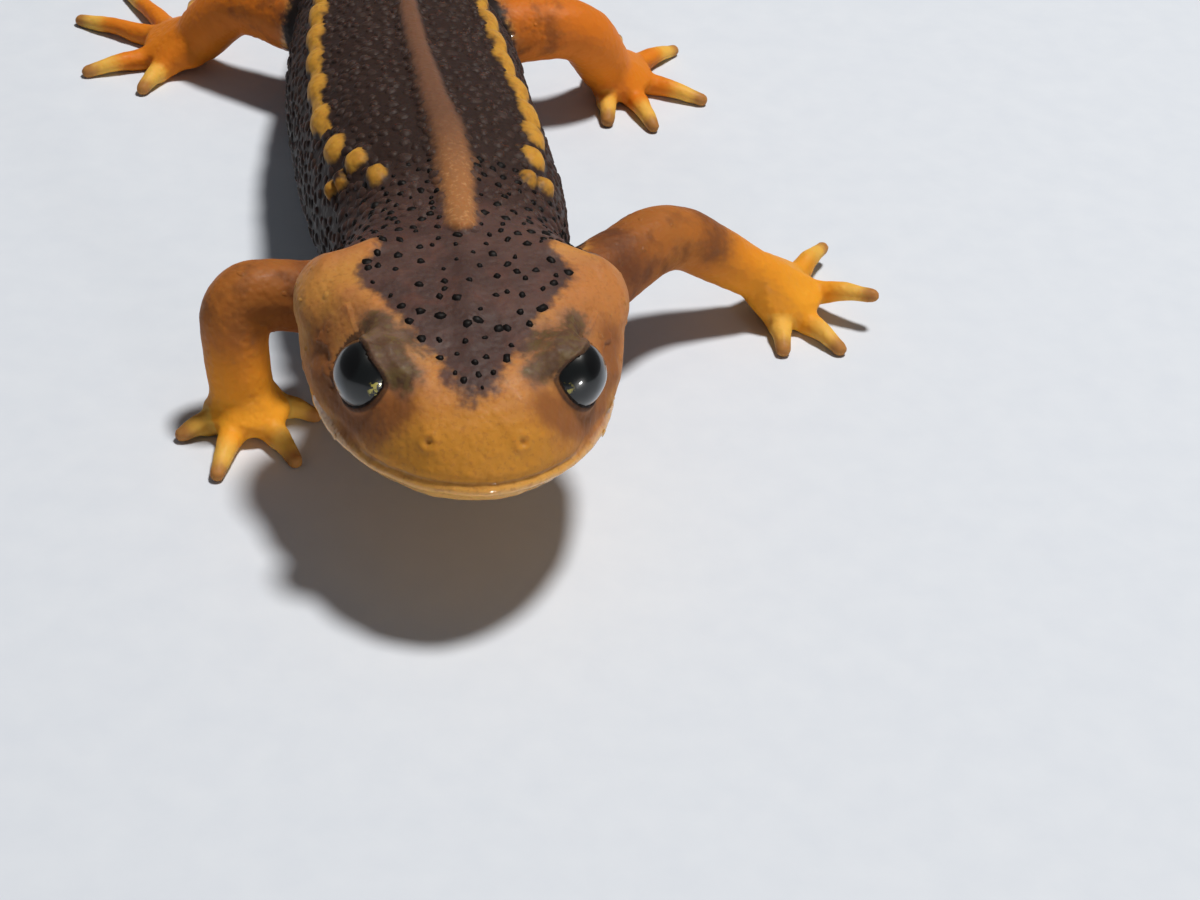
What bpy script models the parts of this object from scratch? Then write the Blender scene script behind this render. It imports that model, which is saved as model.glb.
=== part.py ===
"""A young crocodile newt (Tylototriton), life size, standing on four feet with its head raised.

The newt faces -Y, its own left side is +X, and the floor is Z = 0. Lengths are in millimetres while
the pieces are made, and METRES turns them to metres at the end. The body is a loft along a bent spine,
and each leg is a tapered tube with a flattened palm and toes. Both are then parted by thin cuts.
"""

import math
from collections import namedtuple

import bmesh
import bpy
import numpy as np
from mathutils import Matrix, Vector

METRES = 0.001
GAP = 0.3  # between pieces that touch in life

# Body. Distances along the spine count from the tip of the snout.
SNOUT_Y = 0.2
JAW_AT = 9.0  # the widest part of the head
SNOUT_ROUND = 3.0  # length over which the snout closes in height
HEAD_END = 12.2
NECK_END = 15.2
TRUNK_END = 41.0
TAIL_CUTS = (54.0, 68.0)
TAIL_END = 83.0
TAIL_ROUND = 2.5  # length over which the tail's tip closes

Section = namedtuple("Section", "at half_width widest top bottom roof keel")
# widest, top and bottom are heights over the floor. roof and keel say how boxy each half is: 2 is round.
SECTIONS = (
    Section(0.0, 5.3, 6.0, 8.3, 4.9, 2.4, 2.2),
    Section(3.0, 5.65, 6.0, 9.0, 4.5, 2.6, 2.4),
    Section(6.0, 5.75, 6.3, 9.7, 4.1, 2.8, 2.5),
    Section(9.0, 5.7, 7.0, 10.0, 3.8, 2.9, 2.4),
    Section(10.4, 5.2, 7.0, 10.0, 3.6, 2.7, 2.3),
    Section(11.6, 4.5, 6.7, 9.9, 3.4, 2.5, 2.2),
    Section(13.0, 4.3, 6.3, 9.85, 3.2, 2.3, 2.2),
    Section(14.5, 4.5, 5.9, 9.9, 2.9, 2.3, 2.2),
    Section(17.5, 4.9, 5.3, 10.0, 2.3, 2.5, 2.2),
    Section(21.5, 5.1, 4.9, 9.8, 1.5, 2.6, 2.2),
    Section(26.0, 5.15, 4.5, 9.3, 0.6, 2.6, 2.3),
    Section(31.0, 5.2, 4.2, 8.7, 0.0, 2.5, 2.3),
    Section(36.0, 4.6, 4.0, 8.0, -0.15, 2.4, 2.3),
    Section(40.5, 3.6, 3.8, 7.2, -0.15, 2.2, 2.2),
    Section(44.0, 2.9, 3.6, 6.7, -0.15, 1.9, 1.9),
    Section(50.0, 2.1, 3.3, 6.6, -0.15, 1.5, 1.5),
    Section(58.0, 1.5, 3.0, 6.3, -0.1, 1.35, 1.4),
    Section(66.0, 1.15, 2.6, 5.5, -0.1, 1.3, 1.4),
    Section(74.0, 0.9, 2.0, 4.1, -0.1, 1.3, 1.4),
    Section(83.0, 0.6, 1.0, 2.0, -0.1, 1.4, 1.5),
)
# The spine seen from above, from snout to tail tip.
SPINE = (
    (-0.2, SNOUT_Y),
    (-0.25, 9.0),
    (-0.35, 16.0),
    (-0.9, 21.0),
    (-1.4, 27.0),
    (-1.65, 33.0),
    (-2.1, 39.0),
    (-2.4, 44.0),
    (-2.1, 51.0),
    (-0.5, 60.0),
    (2.1, 68.5),
    (4.2, 77.0),
    (4.9, 84.0),
)

RIDGE_HEIGHT = 0.35  # the ridge along the middle of the back
RIDGE_HALF_WIDTH = 0.7
RIDGE_START, RIDGE_END = 10.5, 43.0
KNOB_PITCH = 2.5  # the row of knobs down each side of the back
KNOB_HEIGHT = 0.4
KNOB_FIRST, KNOB_COUNT = 16.8, 10
KNOB_ANGLE = math.radians(46)  # round the section from its widest level

# Eyes
EYE_RADIUS = 1.3
EYE_AT = 4.15  # along the spine
EYE_OUT = 3.43
EYE_HEIGHT = 8.02
EYE_FACES = (0.75, -0.3, 0.6)  # outward from the left eye
ORBIT_RADIUS = 1.75  # the swelling that holds the eye
ORBIT_INSET = 0.45
SIDES = {"left": 1, "right": -1}

# Cheek glands, which make the head's rear corners
GLAND_AT, GLAND_OUT, GLAND_HEIGHT = 9.0, 4.5, 7.9
GLAND_SIZE = (1.6, 2.4, 1.4)

MOUTH_HEIGHT = 5.75  # the slit between the jaws, at the snout and at its corner
MOUTH_CORNER_HEIGHT = 5.8
MOUTH_CORNER = 8.2  # along the spine

Limb = namedtuple("Limb", "joints radii palm palm_size toes")
Toe = namedtuple("Toe", "root tip lift")
# joints are root, middle joint (elbow or knee) and wrist or ankle, with the bends rounded off later.
# Toes run from the inner one outwards, and lift is how far the tip is held off the floor.
LIMBS = {
    "arm_right": Limb(
        ((-3.8, 14.4, 4.3), (-8.85, 12.9, 5.8), (-8.4, 12.4, 1.7)),
        (1.55, 1.25, 1.25),
        (-8.2, 12.1, 0.8),
        (1.7, 1.5, 0.72),
        (
            Toe((-7.1, 12.8), (-5.3, 12.3), 0.0),
            Toe((-7.3, 11.3), (-6.2, 9.25), 0.0),
            Toe((-8.7, 11.1), (-9.3, 8.4), 0.0),
            Toe((-9.4, 11.8), (-10.9, 11.0), 0.0),
        ),
    ),
    "arm_left": Limb(
        ((3.3, 13.6, 4.2), (8.8, 19.1, 4.8), (13.0, 19.9, 2.0)),
        (1.65, 1.35, 1.2),
        (14.2, 20.1, 0.95),
        (1.65, 1.7, 0.72),
        (
            Toe((13.9, 18.8), (13.8, 16.7), 0.0),
            Toe((15.0, 18.9), (16.4, 16.85), 0.0),
            Toe((15.5, 20.4), (18.1, 19.0), 1.4),
            Toe((15.3, 21.6), (16.8, 24.25), 0.6),
        ),
    ),
    "leg_right": Limb(
        ((-3.9, 37.2, 4.0), (-9.2, 40.4, 4.1), (-11.0, 41.2, 1.7)),
        (1.9, 1.4, 1.3),
        (-12.0, 41.9, 0.85),
        (1.75, 2.2, 0.75),
        (
            Toe((-12.8, 40.0), (-13.8, 38.1), 0.0),
            Toe((-13.5, 41.1), (-16.6, 39.9), 0.0),
            Toe((-13.4, 43.2), (-17.3, 45.4), 0.0),
            Toe((-12.6, 44.0), (-15.0, 48.4), 0.0),
            Toe((-11.5, 43.8), (-11.6, 47.4), 0.0),
        ),
    ),
    "leg_left": Limb(
        ((-1.2, 37.2, 4.0), (6.9, 37.3, 4.6), (8.4, 38.9, 1.7)),
        (1.9, 1.4, 1.3),
        (9.2, 39.7, 0.85),
        (1.65, 2.1, 0.75),
        (
            Toe((8.5, 37.9), (8.35, 35.7), 0.0),
            Toe((9.8, 38.0), (10.6, 35.25), 0.0),
            Toe((10.6, 39.4), (13.45, 38.1), 0.0),
            Toe((10.3, 41.3), (12.65, 43.5), 0.0),
            Toe((9.3, 41.7), (9.7, 44.6), 0.0),
        ),
    ),
}
BEND_REACH = 1.7  # how far from its joint an elbow or a knee begins to turn
LIMB_NAMES = {
    "arm_right": ("upper_arm_right", "forearm_right", "hand_right"),
    "arm_left": ("upper_arm_left", "forearm_left", "hand_left"),
    "leg_right": ("thigh_right", "shank_right", "foot_right"),
    "leg_left": ("thigh_left", "shank_left", "foot_left"),
}
TOE_RADII = (0.85, 0.6, 0.46, 0.37, 0.3)  # from the wrist to the tip
TOE_HEIGHT = 0.24  # of a toe tip's middle line over the floor, less than its radius to leave a flat

# Mesh density
BODY_SIDES = 32
BODY_STEP = 1.5
LIMB_BEVEL = 3  # ten sides
TOE_BEVEL = 2  # eight sides

COLOURS = {
    "skin_head": (0.56, 0.24, 0.06, 1),
    "skin_back": (0.030, 0.020, 0.017, 1),
    "skin_limb": (0.50, 0.17, 0.02, 1),
    "eye": (0.006, 0.006, 0.007, 1),
}
ROUGHNESS = {"skin_head": 0.42, "skin_back": 0.55, "skin_limb": 0.42, "eye": 0.05}


# Curves through named values ---------------------------------------------------------------------


def eased(x, xs, ys):
    """The value at x of a smooth curve through the points (xs, ys)."""
    xs, ys = np.asarray(xs, float), np.asarray(ys, float)
    slopes = np.gradient(ys, xs)
    k = np.clip(np.searchsorted(xs, x) - 1, 0, len(xs) - 2)
    width = xs[k + 1] - xs[k]
    t = (x - xs[k]) / width
    start = (1 + 2 * t) * (1 - t) ** 2 * ys[k] + t * (1 - t) ** 2 * width * slopes[k]
    end = t * t * (3 - 2 * t) * ys[k + 1] + t * t * (t - 1) * width * slopes[k + 1]
    return start + end


def smooth_route(points, steps):
    """Points on a smooth curve through the given ones, with this many steps between two of them."""
    points = np.asarray(points, float)
    knots = np.arange(len(points))
    return [
        Vector([eased(t, knots, points[:, axis]) for axis in range(points.shape[1])])
        for t in np.linspace(0, len(points) - 1, steps * (len(points) - 1) + 1)
    ]


SPINE_ROUTE = np.array([tuple(p) for p in smooth_route(SPINE, 20)])
SPINE_LENGTHS = np.concatenate(
    [[0], np.cumsum(np.linalg.norm(np.diff(SPINE_ROUTE, axis=0), axis=1))]
)


def spine_frame(at):
    """Place on the floor below the spine, and the level directions along it and to the newt's left."""
    reach = 0.5
    here = [np.interp(at, SPINE_LENGTHS, SPINE_ROUTE[:, axis]) for axis in (0, 1)]
    ends = [
        [
            np.interp(at + side * reach, SPINE_LENGTHS, SPINE_ROUTE[:, axis])
            for axis in (0, 1)
        ]
        for side in (-1, 1)
    ]
    along = Vector((ends[1][0] - ends[0][0], ends[1][1] - ends[0][1], 0)).normalized()
    return Vector((*here, 0)), along, Vector((along.y, -along.x, 0))


def closing(at, length):
    """How far a rounded end has opened at this distance from it: 0 at the end, 1 past its length."""
    return math.sqrt(max(0.0, 1 - (1 - min(at, length) / length) ** 2))


def section_at(at):
    """The body's section at a distance along the spine, with the snout and tail tip rounded off."""
    ats = [s.at for s in SECTIONS]
    values = [
        float(eased(at, ats, [getattr(s, name) for s in SECTIONS]))
        for name in Section._fields[1:]
    ]
    section = Section(at, *values)
    high = closing(at, SNOUT_ROUND) * closing(TAIL_END - at, TAIL_ROUND)
    wide = closing(at, JAW_AT) * closing(TAIL_END - at, TAIL_ROUND)
    return section._replace(
        half_width=section.half_width * wide,
        top=section.widest + (section.top - section.widest) * high,
        bottom=section.widest + (section.bottom - section.widest) * high,
    )


# The body's surface ------------------------------------------------------------------------------


def ramp(x, low, high):
    t = min(1.0, max(0.0, (x - low) / (high - low)))
    return t * t * (3 - 2 * t)


def ridge(at, across):
    """Height of the ridge down the middle of the back."""
    along = ramp(at, RIDGE_START, RIDGE_START + 1.5) * (
        1 - ramp(at, RIDGE_END - 4, RIDGE_END)
    )
    return RIDGE_HEIGHT * along * math.exp(-((across / RIDGE_HALF_WIDTH) ** 4))


def knob(at, angle):
    """Height of the row of knobs, which is highest at each knob and lowest halfway between two."""
    last = KNOB_FIRST + KNOB_PITCH * (KNOB_COUNT - 1)
    if not KNOB_FIRST - KNOB_PITCH / 2 < at < last + KNOB_PITCH / 2:
        return 0.0
    beat = 0.5 + 0.5 * math.cos(2 * math.pi * (at - KNOB_FIRST) / KNOB_PITCH)
    off_row = (angle - KNOB_ANGLE) / math.radians(11)
    return KNOB_HEIGHT * (0.35 + 0.65 * beat) * math.exp(-(off_row**2))


def body_point(at, angle, grow=0.0):
    """A point of the body's surface. The angle goes round the section from the newt's left, over the top."""
    section = section_at(at)
    place, _, left = spine_frame(at)
    upper = math.sin(angle) >= 0
    power = 2 / (section.roof if upper else section.keel)
    reach = (
        section.top - section.widest if upper else section.widest - section.bottom
    ) + grow
    across = math.copysign(abs(math.cos(angle)) ** power, math.cos(angle))
    rise = math.copysign(abs(math.sin(angle)) ** power, math.sin(angle))
    across, rise = across * (section.half_width + grow), rise * reach
    if upper:
        rise += ridge(at, across)
        side_angle = min(angle, math.pi - angle)
        bump = knob(at, side_angle)
        across += bump * math.cos(angle)
        rise += bump * math.sin(angle)
    height = max(section.widest + rise, 0.0)
    return place + left * across + Vector((0, 0, height))


def body_angles():
    """Angles round the section, closer together on the ridge and on the two rows of knobs."""
    crest = [math.radians(a) for a in (83, 90, 97)]
    row = [KNOB_ANGLE + math.radians(a) for a in (-13, 0, 13)]
    upper = sorted(
        [0, math.radians(12)]
        + row
        + [math.radians(67)]
        + crest
        + [math.radians(113)]
        + [math.pi - a for a in row]
        + [math.radians(168)]
    )
    lower = [math.pi + k * math.pi / (BODY_SIDES / 2) for k in range(BODY_SIDES // 2)]
    return upper + lower


def loft(name, stations, grow=0.0):
    """A closed tube through the body's sections at these stations."""
    mesh = bmesh.new()
    angles = body_angles()
    rings = [
        [mesh.verts.new(body_point(at, angle, grow)) for angle in angles]
        for at in stations
    ]
    for near, far in zip(rings, rings[1:]):
        for k in range(len(angles)):
            m = (k + 1) % len(angles)
            mesh.faces.new((near[k], near[m], far[m], far[k]))
    for ring, turned in ((rings[0], True), (rings[-1], False)):
        centre = mesh.verts.new(sum((v.co for v in ring), Vector()) / len(ring))
        for k in range(len(ring)):
            pair = (ring[(k + 1) % len(ring)], ring[k])
            mesh.faces.new((centre, *(pair if turned else pair[::-1])))
    bmesh.ops.recalc_face_normals(mesh, faces=mesh.faces)
    return add_object(name, mesh)


def evenly(start, end, step):
    return list(np.linspace(start, end, max(2, round((end - start) / step) + 1)))


def snout_stations():
    """Stations that come closer together where the snout rounds off."""
    count = 7
    turns = [math.pi / 2 * k / count for k in range(count)]
    first = 0.03
    return [first + SNOUT_ROUND * (1 - math.cos(t)) for t in turns] + evenly(
        SNOUT_ROUND, HEAD_END, 1.0
    )


def trunk_stations():
    """Two stations for each knob, at its top and at the dip after it, and even ones at both ends."""
    half = KNOB_PITCH / 2
    start = NECK_END + GAP
    beats = [KNOB_FIRST + half * k for k in range(2 * KNOB_COUNT)]
    inner = [at for at in beats if start + 0.4 < at < TRUNK_END - 0.4]
    return [start, *inner, TRUNK_END]


# Objects -----------------------------------------------------------------------------------------


def add_object(name, mesh):
    """A new object from a bmesh, in the newt's collection."""
    data = bpy.data.meshes.new(name)
    mesh.to_mesh(data)
    mesh.free()
    made = bpy.data.objects.new(name, data)
    collection.objects.link(made)
    return made


def as_mesh(source, name):
    """A mesh object with what the source shows, modifiers included. The source is removed."""
    bpy.context.view_layer.update()
    graph = bpy.context.evaluated_depsgraph_get()
    data = bpy.data.meshes.new_from_object(source.evaluated_get(graph))
    made = bpy.data.objects.new(name, data)
    made.matrix_world = source.matrix_world
    bpy.data.objects.remove(source)
    collection.objects.link(made)
    made.name = name
    return made


def edit(made, change):
    """Runs change(bmesh) on an object's mesh."""
    mesh = bmesh.new()
    mesh.from_mesh(made.data)
    change(mesh)
    mesh.to_mesh(made.data)
    mesh.free()


def combine(target, other, operation):
    """Applies a Boolean of the two, and removes the other one."""
    modifier = target.modifiers.new("Combine", "BOOLEAN")
    modifier.operation = operation
    modifier.use_self = operation == "UNION"
    modifier.object = other
    name = target.name
    made = as_mesh(target, name)
    bpy.data.objects.remove(other)
    return made


def box(name, size, centre, tilt=0.0):
    mesh = bmesh.new()
    bmesh.ops.create_cube(mesh, size=1)
    place = (
        Matrix.Translation(centre)
        @ Matrix.Rotation(tilt, 4, "X")
        @ Matrix.Diagonal((*size, 1))
    )
    bmesh.ops.transform(mesh, matrix=place, verts=mesh.verts)
    return add_object(name, mesh)


def ball(name, centre, size, sides, turn=0.0):
    """An ellipsoid with these three radii."""
    mesh = bmesh.new()
    bmesh.ops.create_uvsphere(mesh, u_segments=sides, v_segments=sides // 2, radius=1)
    place = (
        Matrix.Translation(centre)
        @ Matrix.Rotation(turn, 4, "Z")
        @ Matrix.Diagonal((*size, 1))
    )
    bmesh.ops.transform(mesh, matrix=place, verts=mesh.verts)
    return add_object(name, mesh)


def tube(name, points, radii, bevel):
    """A tapered tube with filled caps along a route, as a mesh."""
    data = bpy.data.curves.new(name, "CURVE")
    data.dimensions = "3D"
    data.bevel_depth = 1.0
    data.bevel_resolution = bevel
    data.use_fill_caps = True
    spline = data.splines.new("POLY")
    spline.points.add(len(points) - 1)
    for point, place, radius in zip(spline.points, points, radii):
        point.co = (*place, 1)
        point.radius = radius
    made = bpy.data.objects.new(name, data)
    collection.objects.link(made)
    made = as_mesh(made, name)
    edit(
        made,
        lambda mesh: bmesh.ops.remove_doubles(mesh, verts=mesh.verts, dist=0.001),
    )
    return made


def cut_away(made, point, normal):
    """Cuts off and caps what lies past a plane, on the side its normal points to."""

    def change(mesh):
        cut = bmesh.ops.bisect_plane(
            mesh,
            geom=[*mesh.verts, *mesh.edges, *mesh.faces],
            dist=1e-5,
            plane_co=point,
            plane_no=normal,
            clear_outer=True,
        )
        edges = [e for e in cut["geom_cut"] if isinstance(e, bmesh.types.BMEdge)]
        bmesh.ops.holes_fill(mesh, edges=edges)
        bmesh.ops.recalc_face_normals(mesh, faces=mesh.faces)

    edit(made, change)


def copy_of(made, name):
    other = bpy.data.objects.new(name, made.data.copy())
    other.matrix_world = made.matrix_world
    collection.objects.link(other)
    return other


def part_at(made, point, normal, near_name, far_name):
    """Parts an object at a plane with a thin gap. The normal points to the far piece."""
    normal = Vector(normal).normalized()
    far = copy_of(made, far_name)
    made.name = near_name
    cut_away(made, Vector(point) - normal * GAP / 2, normal)
    cut_away(far, Vector(point) + normal * GAP / 2, -normal)
    return made, far


def paint(made, finish):
    """Gives the object a material of its own."""
    material = bpy.data.materials.new(f"{made.name}_{finish}")
    material.use_nodes = True
    shader = material.node_tree.nodes["Principled BSDF"]
    shader.inputs["Base Color"].default_value = COLOURS[finish]
    shader.inputs["Roughness"].default_value = ROUGHNESS[finish]
    made.data.materials.clear()
    made.data.materials.append(material)
    made.data.shade_smooth()
    made.data.set_sharp_from_angle(angle=math.radians(50))


# Head --------------------------------------------------------------------------------------------


def eye_centre(side):
    place, _, left = spine_frame(EYE_AT)
    return place + left * side * EYE_OUT + Vector((0, 0, EYE_HEIGHT))


def eye_faces(side):
    across, along, up = EYE_FACES
    return Vector((side * across, along, up)).normalized()


def swell(made, centre, size):
    """Pushes the surface out to an ellipsoid wherever it lies inside it."""
    scale = Matrix.Diagonal(size)
    shrink = scale.inverted()

    def change(mesh):
        for vert in mesh.verts:
            offset = shrink @ (vert.co - centre)
            if offset.length < 1:
                vert.co = centre + scale @ offset.normalized()

    edit(made, change)


def make_head():
    """The head's loft with orbits and cheek glands, hollowed for the eyes and parted from the jaw."""
    head = loft("head", snout_stations())
    place, _, left = spine_frame(GLAND_AT)
    for side in SIDES.values():
        orbit = eye_centre(side) - eye_faces(side) * ORBIT_INSET
        swell(head, orbit, (ORBIT_RADIUS,) * 3)
        gland = place + left * side * GLAND_OUT + Vector((0, 0, GLAND_HEIGHT))
        swell(head, gland, GLAND_SIZE)
    for name, side in SIDES.items():
        socket = EYE_RADIUS + GAP
        cutter = ball("socket", eye_centre(side), (socket,) * 3, 20)
        head = combine(head, cutter, "DIFFERENCE")
        eye = ball(f"eye_{name}", eye_centre(side), (EYE_RADIUS,) * 3, 20)
        paint(eye, "eye")
    return part_jaw(head)


def part_jaw(head):
    """Cuts the mouth slit and the wall behind it, which frees the lower jaw."""
    centre, _, _ = spine_frame(MOUTH_CORNER / 2)
    rise = MOUTH_CORNER_HEIGHT - MOUTH_HEIGHT
    length = 2 * MOUTH_CORNER
    width = 20
    # The slit runs from ahead of the snout to the mouth's corner.
    slit_middle = Vector((centre.x, SNOUT_Y, MOUTH_HEIGHT))
    slit = box(
        "slit", (width, length, GAP), slit_middle, math.atan(rise / MOUTH_CORNER)
    )
    corner = Vector(
        (centre.x, SNOUT_Y + MOUTH_CORNER, MOUTH_CORNER_HEIGHT - MOUTH_HEIGHT / 2)
    )
    wall = box("wall", (width, GAP, MOUTH_HEIGHT), corner)
    slit = combine(slit, wall, "UNION")
    head = combine(head, slit, "DIFFERENCE")
    bpy.ops.object.select_all(action="DESELECT")
    head.select_set(True)
    bpy.context.view_layer.objects.active = head
    bpy.ops.mesh.separate(type="LOOSE")
    pieces = sorted(
        bpy.context.selected_objects, key=lambda o: max(v.co.z for v in o.data.vertices)
    )
    jaw, skull = pieces
    skull.name = "head"
    jaw.name = "lower_jaw"
    for piece in pieces:
        paint(piece, "skin_head")
    return pieces


# Limbs -------------------------------------------------------------------------------------------


def bend_points(before, joint, after, steps=6):
    """A rounded corner: a curve that leaves one bone and joins the next near their joint."""
    start = joint + (before - joint).normalized() * BEND_REACH
    end = joint + (after - joint).normalized() * BEND_REACH
    turns = [k / steps for k in range(steps + 1)]
    return [(1 - t) ** 2 * start + 2 * t * (1 - t) * joint + t * t * end for t in turns]


def limb_route(limb):
    """The limb's middle line and radii, from its root to inside the palm, and the bend's middle."""
    root, joint, wrist = (Vector(p) for p in limb.joints)
    palm = Vector(limb.palm)
    bend = bend_points(root, joint, wrist)
    upper = [root.lerp(bend[0], t) for t in (0, 0.5)]
    lower = [bend[-1].lerp(wrist, t) for t in (0.5, 1)]
    points = [*upper, *bend, *lower, palm]
    ends = np.cumsum([0, *((b - a).length for a, b in zip(points, points[1:]))])
    middle = len(upper) + len(bend) // 2
    knots = ends[[0, middle, len(points) - 2, len(points) - 1]]
    return points, list(np.interp(ends, knots, (*limb.radii, 0.6))), points[middle]


def toe_route(wrist, palm, toe):
    """A toe's middle line, from below the wrist over its root down to the floor, or to a lifted tip."""
    tip = Vector((*toe.tip, TOE_HEIGHT + toe.lift))
    root = Vector((*toe.root, 0.5 * palm[2] + 0.5 * TOE_HEIGHT + 0.3 * toe.lift))
    start = wrist.lerp(Vector(palm), 0.4)
    knuckle = root.lerp(tip, 0.45)
    knuckle.z += 0.12
    last = root.lerp(tip, 0.93)
    return [start, root, knuckle, last, tip]


def make_limb(name, limb, trunk_cutter):
    points, radii, middle = limb_route(limb)
    whole = tube(name, points, radii, LIMB_BEVEL)
    palm = ball("palm", Vector(limb.palm), limb.palm_size, 14)
    whole = combine(whole, palm, "UNION")
    root, joint, wrist = (Vector(p) for p in limb.joints)
    for toe in limb.toes:
        route = toe_route(wrist, limb.palm, toe)
        whole = combine(whole, tube("toe", route, TOE_RADII, TOE_BEVEL), "UNION")
    whole = combine(whole, trunk_cutter, "DIFFERENCE")
    cut_away(whole, Vector((0, 0, 0)), Vector((0, 0, -1)))
    upper_name, lower_name, hand_name = LIMB_NAMES[name]
    across_bend = (joint - root).normalized() + (wrist - joint).normalized()
    upper, rest = part_at(whole, middle, across_bend, upper_name, "rest")
    # The wrist's cut leans toward level, which keeps every toe on the hand's side of it.
    toward_palm = Vector(limb.palm) - wrist
    down = (wrist - joint).normalized() + toward_palm.normalized() + Vector((0, 0, -2))
    lower, hand = part_at(rest, wrist, down, lower_name, hand_name)
    for piece in (upper, lower, hand):
        paint(piece, "skin_limb")
    return [upper, lower, hand]


# The whole newt ----------------------------------------------------------------------------------


def to_metres_on_origin():
    """Scales every piece to metres and puts the origin at the middle of the box's underside."""
    pieces = list(collection.objects)
    corners = np.array([tuple(v.co) for o in pieces for v in o.data.vertices])
    low, high = corners.min(axis=0), corners.max(axis=0)
    middle = (low + high) / 2
    shift = Matrix.Translation((-middle[0], -middle[1], -low[2]))
    for piece in pieces:
        piece.data.transform(Matrix.Scale(METRES, 4) @ shift)


for old in list(bpy.data.objects):
    bpy.data.objects.remove(old)
collection = bpy.data.collections.new("crocodile_newt")
bpy.context.scene.collection.children.link(collection)

make_head()
neck = loft("neck", evenly(HEAD_END + GAP, NECK_END, BODY_STEP))
trunk = loft("trunk", trunk_stations())
paint(neck, "skin_back")
paint(trunk, "skin_back")

tail_names = ("tail_base", "tail_middle", "tail_tip")
tail_starts = (TRUNK_END, *TAIL_CUTS)
tail_ends = (*TAIL_CUTS, TAIL_END - 0.03)
for name, start, end in zip(tail_names, tail_starts, tail_ends):
    paint(loft(name, evenly(start + GAP, end, 2 * BODY_STEP)), "skin_limb")

for name, limb in LIMBS.items():
    cutter = loft("cutter", evenly(HEAD_END, TRUNK_END + 3, BODY_STEP), grow=GAP)
    make_limb(name, limb, cutter)

to_metres_on_origin()
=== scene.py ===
# %% [markdown]
# # A young crocodile newt, life size
# A crocodile newt is a small salamander with a broad, bony head, a ridge down its back and a row of
# orange knobs down each side. This one is 82 mm long. It stands on four feet, head up, tail on the floor.
# The lesson fuses simple solids to a soft body, raises the forms on it, and paints it by measured zones.
# Every length is in millimetres until the end. The newt faces -Y, its own left side is +X, and the floor is
# at Z = 0.

# %% The frame
import math

import bpy
import numpy as np
from mathutils import Matrix, Vector
from mathutils.kdtree import KDTree


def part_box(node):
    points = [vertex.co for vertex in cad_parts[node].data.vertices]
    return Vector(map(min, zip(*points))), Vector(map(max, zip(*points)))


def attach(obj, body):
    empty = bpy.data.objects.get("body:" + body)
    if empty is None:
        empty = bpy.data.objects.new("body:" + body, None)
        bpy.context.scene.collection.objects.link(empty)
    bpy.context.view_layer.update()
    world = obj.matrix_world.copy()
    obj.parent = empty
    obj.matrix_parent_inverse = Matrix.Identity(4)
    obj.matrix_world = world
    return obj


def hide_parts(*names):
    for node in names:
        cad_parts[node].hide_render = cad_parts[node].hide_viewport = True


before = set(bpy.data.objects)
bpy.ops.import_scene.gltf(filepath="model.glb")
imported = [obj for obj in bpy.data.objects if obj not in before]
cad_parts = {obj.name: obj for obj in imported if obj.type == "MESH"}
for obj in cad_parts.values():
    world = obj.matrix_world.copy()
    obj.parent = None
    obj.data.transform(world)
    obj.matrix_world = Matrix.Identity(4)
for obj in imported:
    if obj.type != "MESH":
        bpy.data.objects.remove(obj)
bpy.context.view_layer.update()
METRES = 0.001
print("nodes in the frame:", len(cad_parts))

# %% [markdown]
# ## The body's sizes
# A newt's body is easiest to describe by its cross sections. Each row below is one section: how far it is
# from the tip of the snout, and its width and heights there. These are the sizes the solids were made from,
# so the skin lands on them. Drawing the body by hand would work too, but could not be measured.

# %% Sections of the body
# Distance along the spine, half width, heights of the widest level, of the top and of the underside,
# and how boxy the upper and lower halves are (2 is round).
SECTIONS = np.array((
    (0.0, 5.3, 6.0, 8.3, 4.9, 2.4, 2.2),
    (3.0, 5.65, 6.0, 9.0, 4.5, 2.6, 2.4),
    (6.0, 5.75, 6.3, 9.7, 4.1, 2.8, 2.5),
    (9.0, 5.7, 7.0, 10.0, 3.8, 2.9, 2.4),
    (10.4, 5.2, 7.0, 10.0, 3.6, 2.7, 2.3),
    (11.6, 4.5, 6.7, 9.9, 3.4, 2.5, 2.2),
    (13.0, 4.3, 6.3, 9.85, 3.2, 2.3, 2.2),
    (14.5, 4.5, 5.9, 9.9, 2.9, 2.3, 2.2),
    (17.5, 4.9, 5.3, 10.0, 2.3, 2.5, 2.2),
    (21.5, 5.1, 4.9, 9.8, 1.5, 2.6, 2.2),
    (26.0, 5.15, 4.5, 9.3, 0.6, 2.6, 2.3),
    (31.0, 5.2, 4.2, 8.7, 0.0, 2.5, 2.3),
    (36.0, 4.6, 4.0, 8.0, -0.15, 2.4, 2.3),
    (40.5, 3.6, 3.8, 7.2, -0.15, 2.2, 2.2),
    (44.0, 2.9, 3.6, 6.7, -0.15, 1.9, 1.9),
    (50.0, 2.1, 3.3, 6.6, -0.15, 1.5, 1.5),
    (58.0, 1.5, 3.0, 6.3, -0.1, 1.35, 1.4),
    (66.0, 1.15, 2.6, 5.5, -0.1, 1.3, 1.4),
    (74.0, 0.9, 2.0, 4.1, -0.1, 1.3, 1.4),
    (83.0, 0.6, 1.0, 2.0, -0.1, 1.4, 1.5),
))
JAW_AT, SNOUT_ROUND = 9.0, 3.0
TAIL_END, TAIL_ROUND = 83.0, 2.5
# The spine seen from above.
SPINE = np.array((
    (-0.2, 0.2), (-0.25, 9.0), (-0.35, 16.0), (-0.9, 21.0), (-1.4, 27.0), (-1.65, 33.0), (-2.1, 39.0),
    (-2.4, 44.0), (-2.1, 51.0), (-0.5, 60.0), (2.1, 68.5), (4.2, 77.0), (4.9, 84.0),
))
UP = np.array((0.0, 0.0, 1.0))


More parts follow.
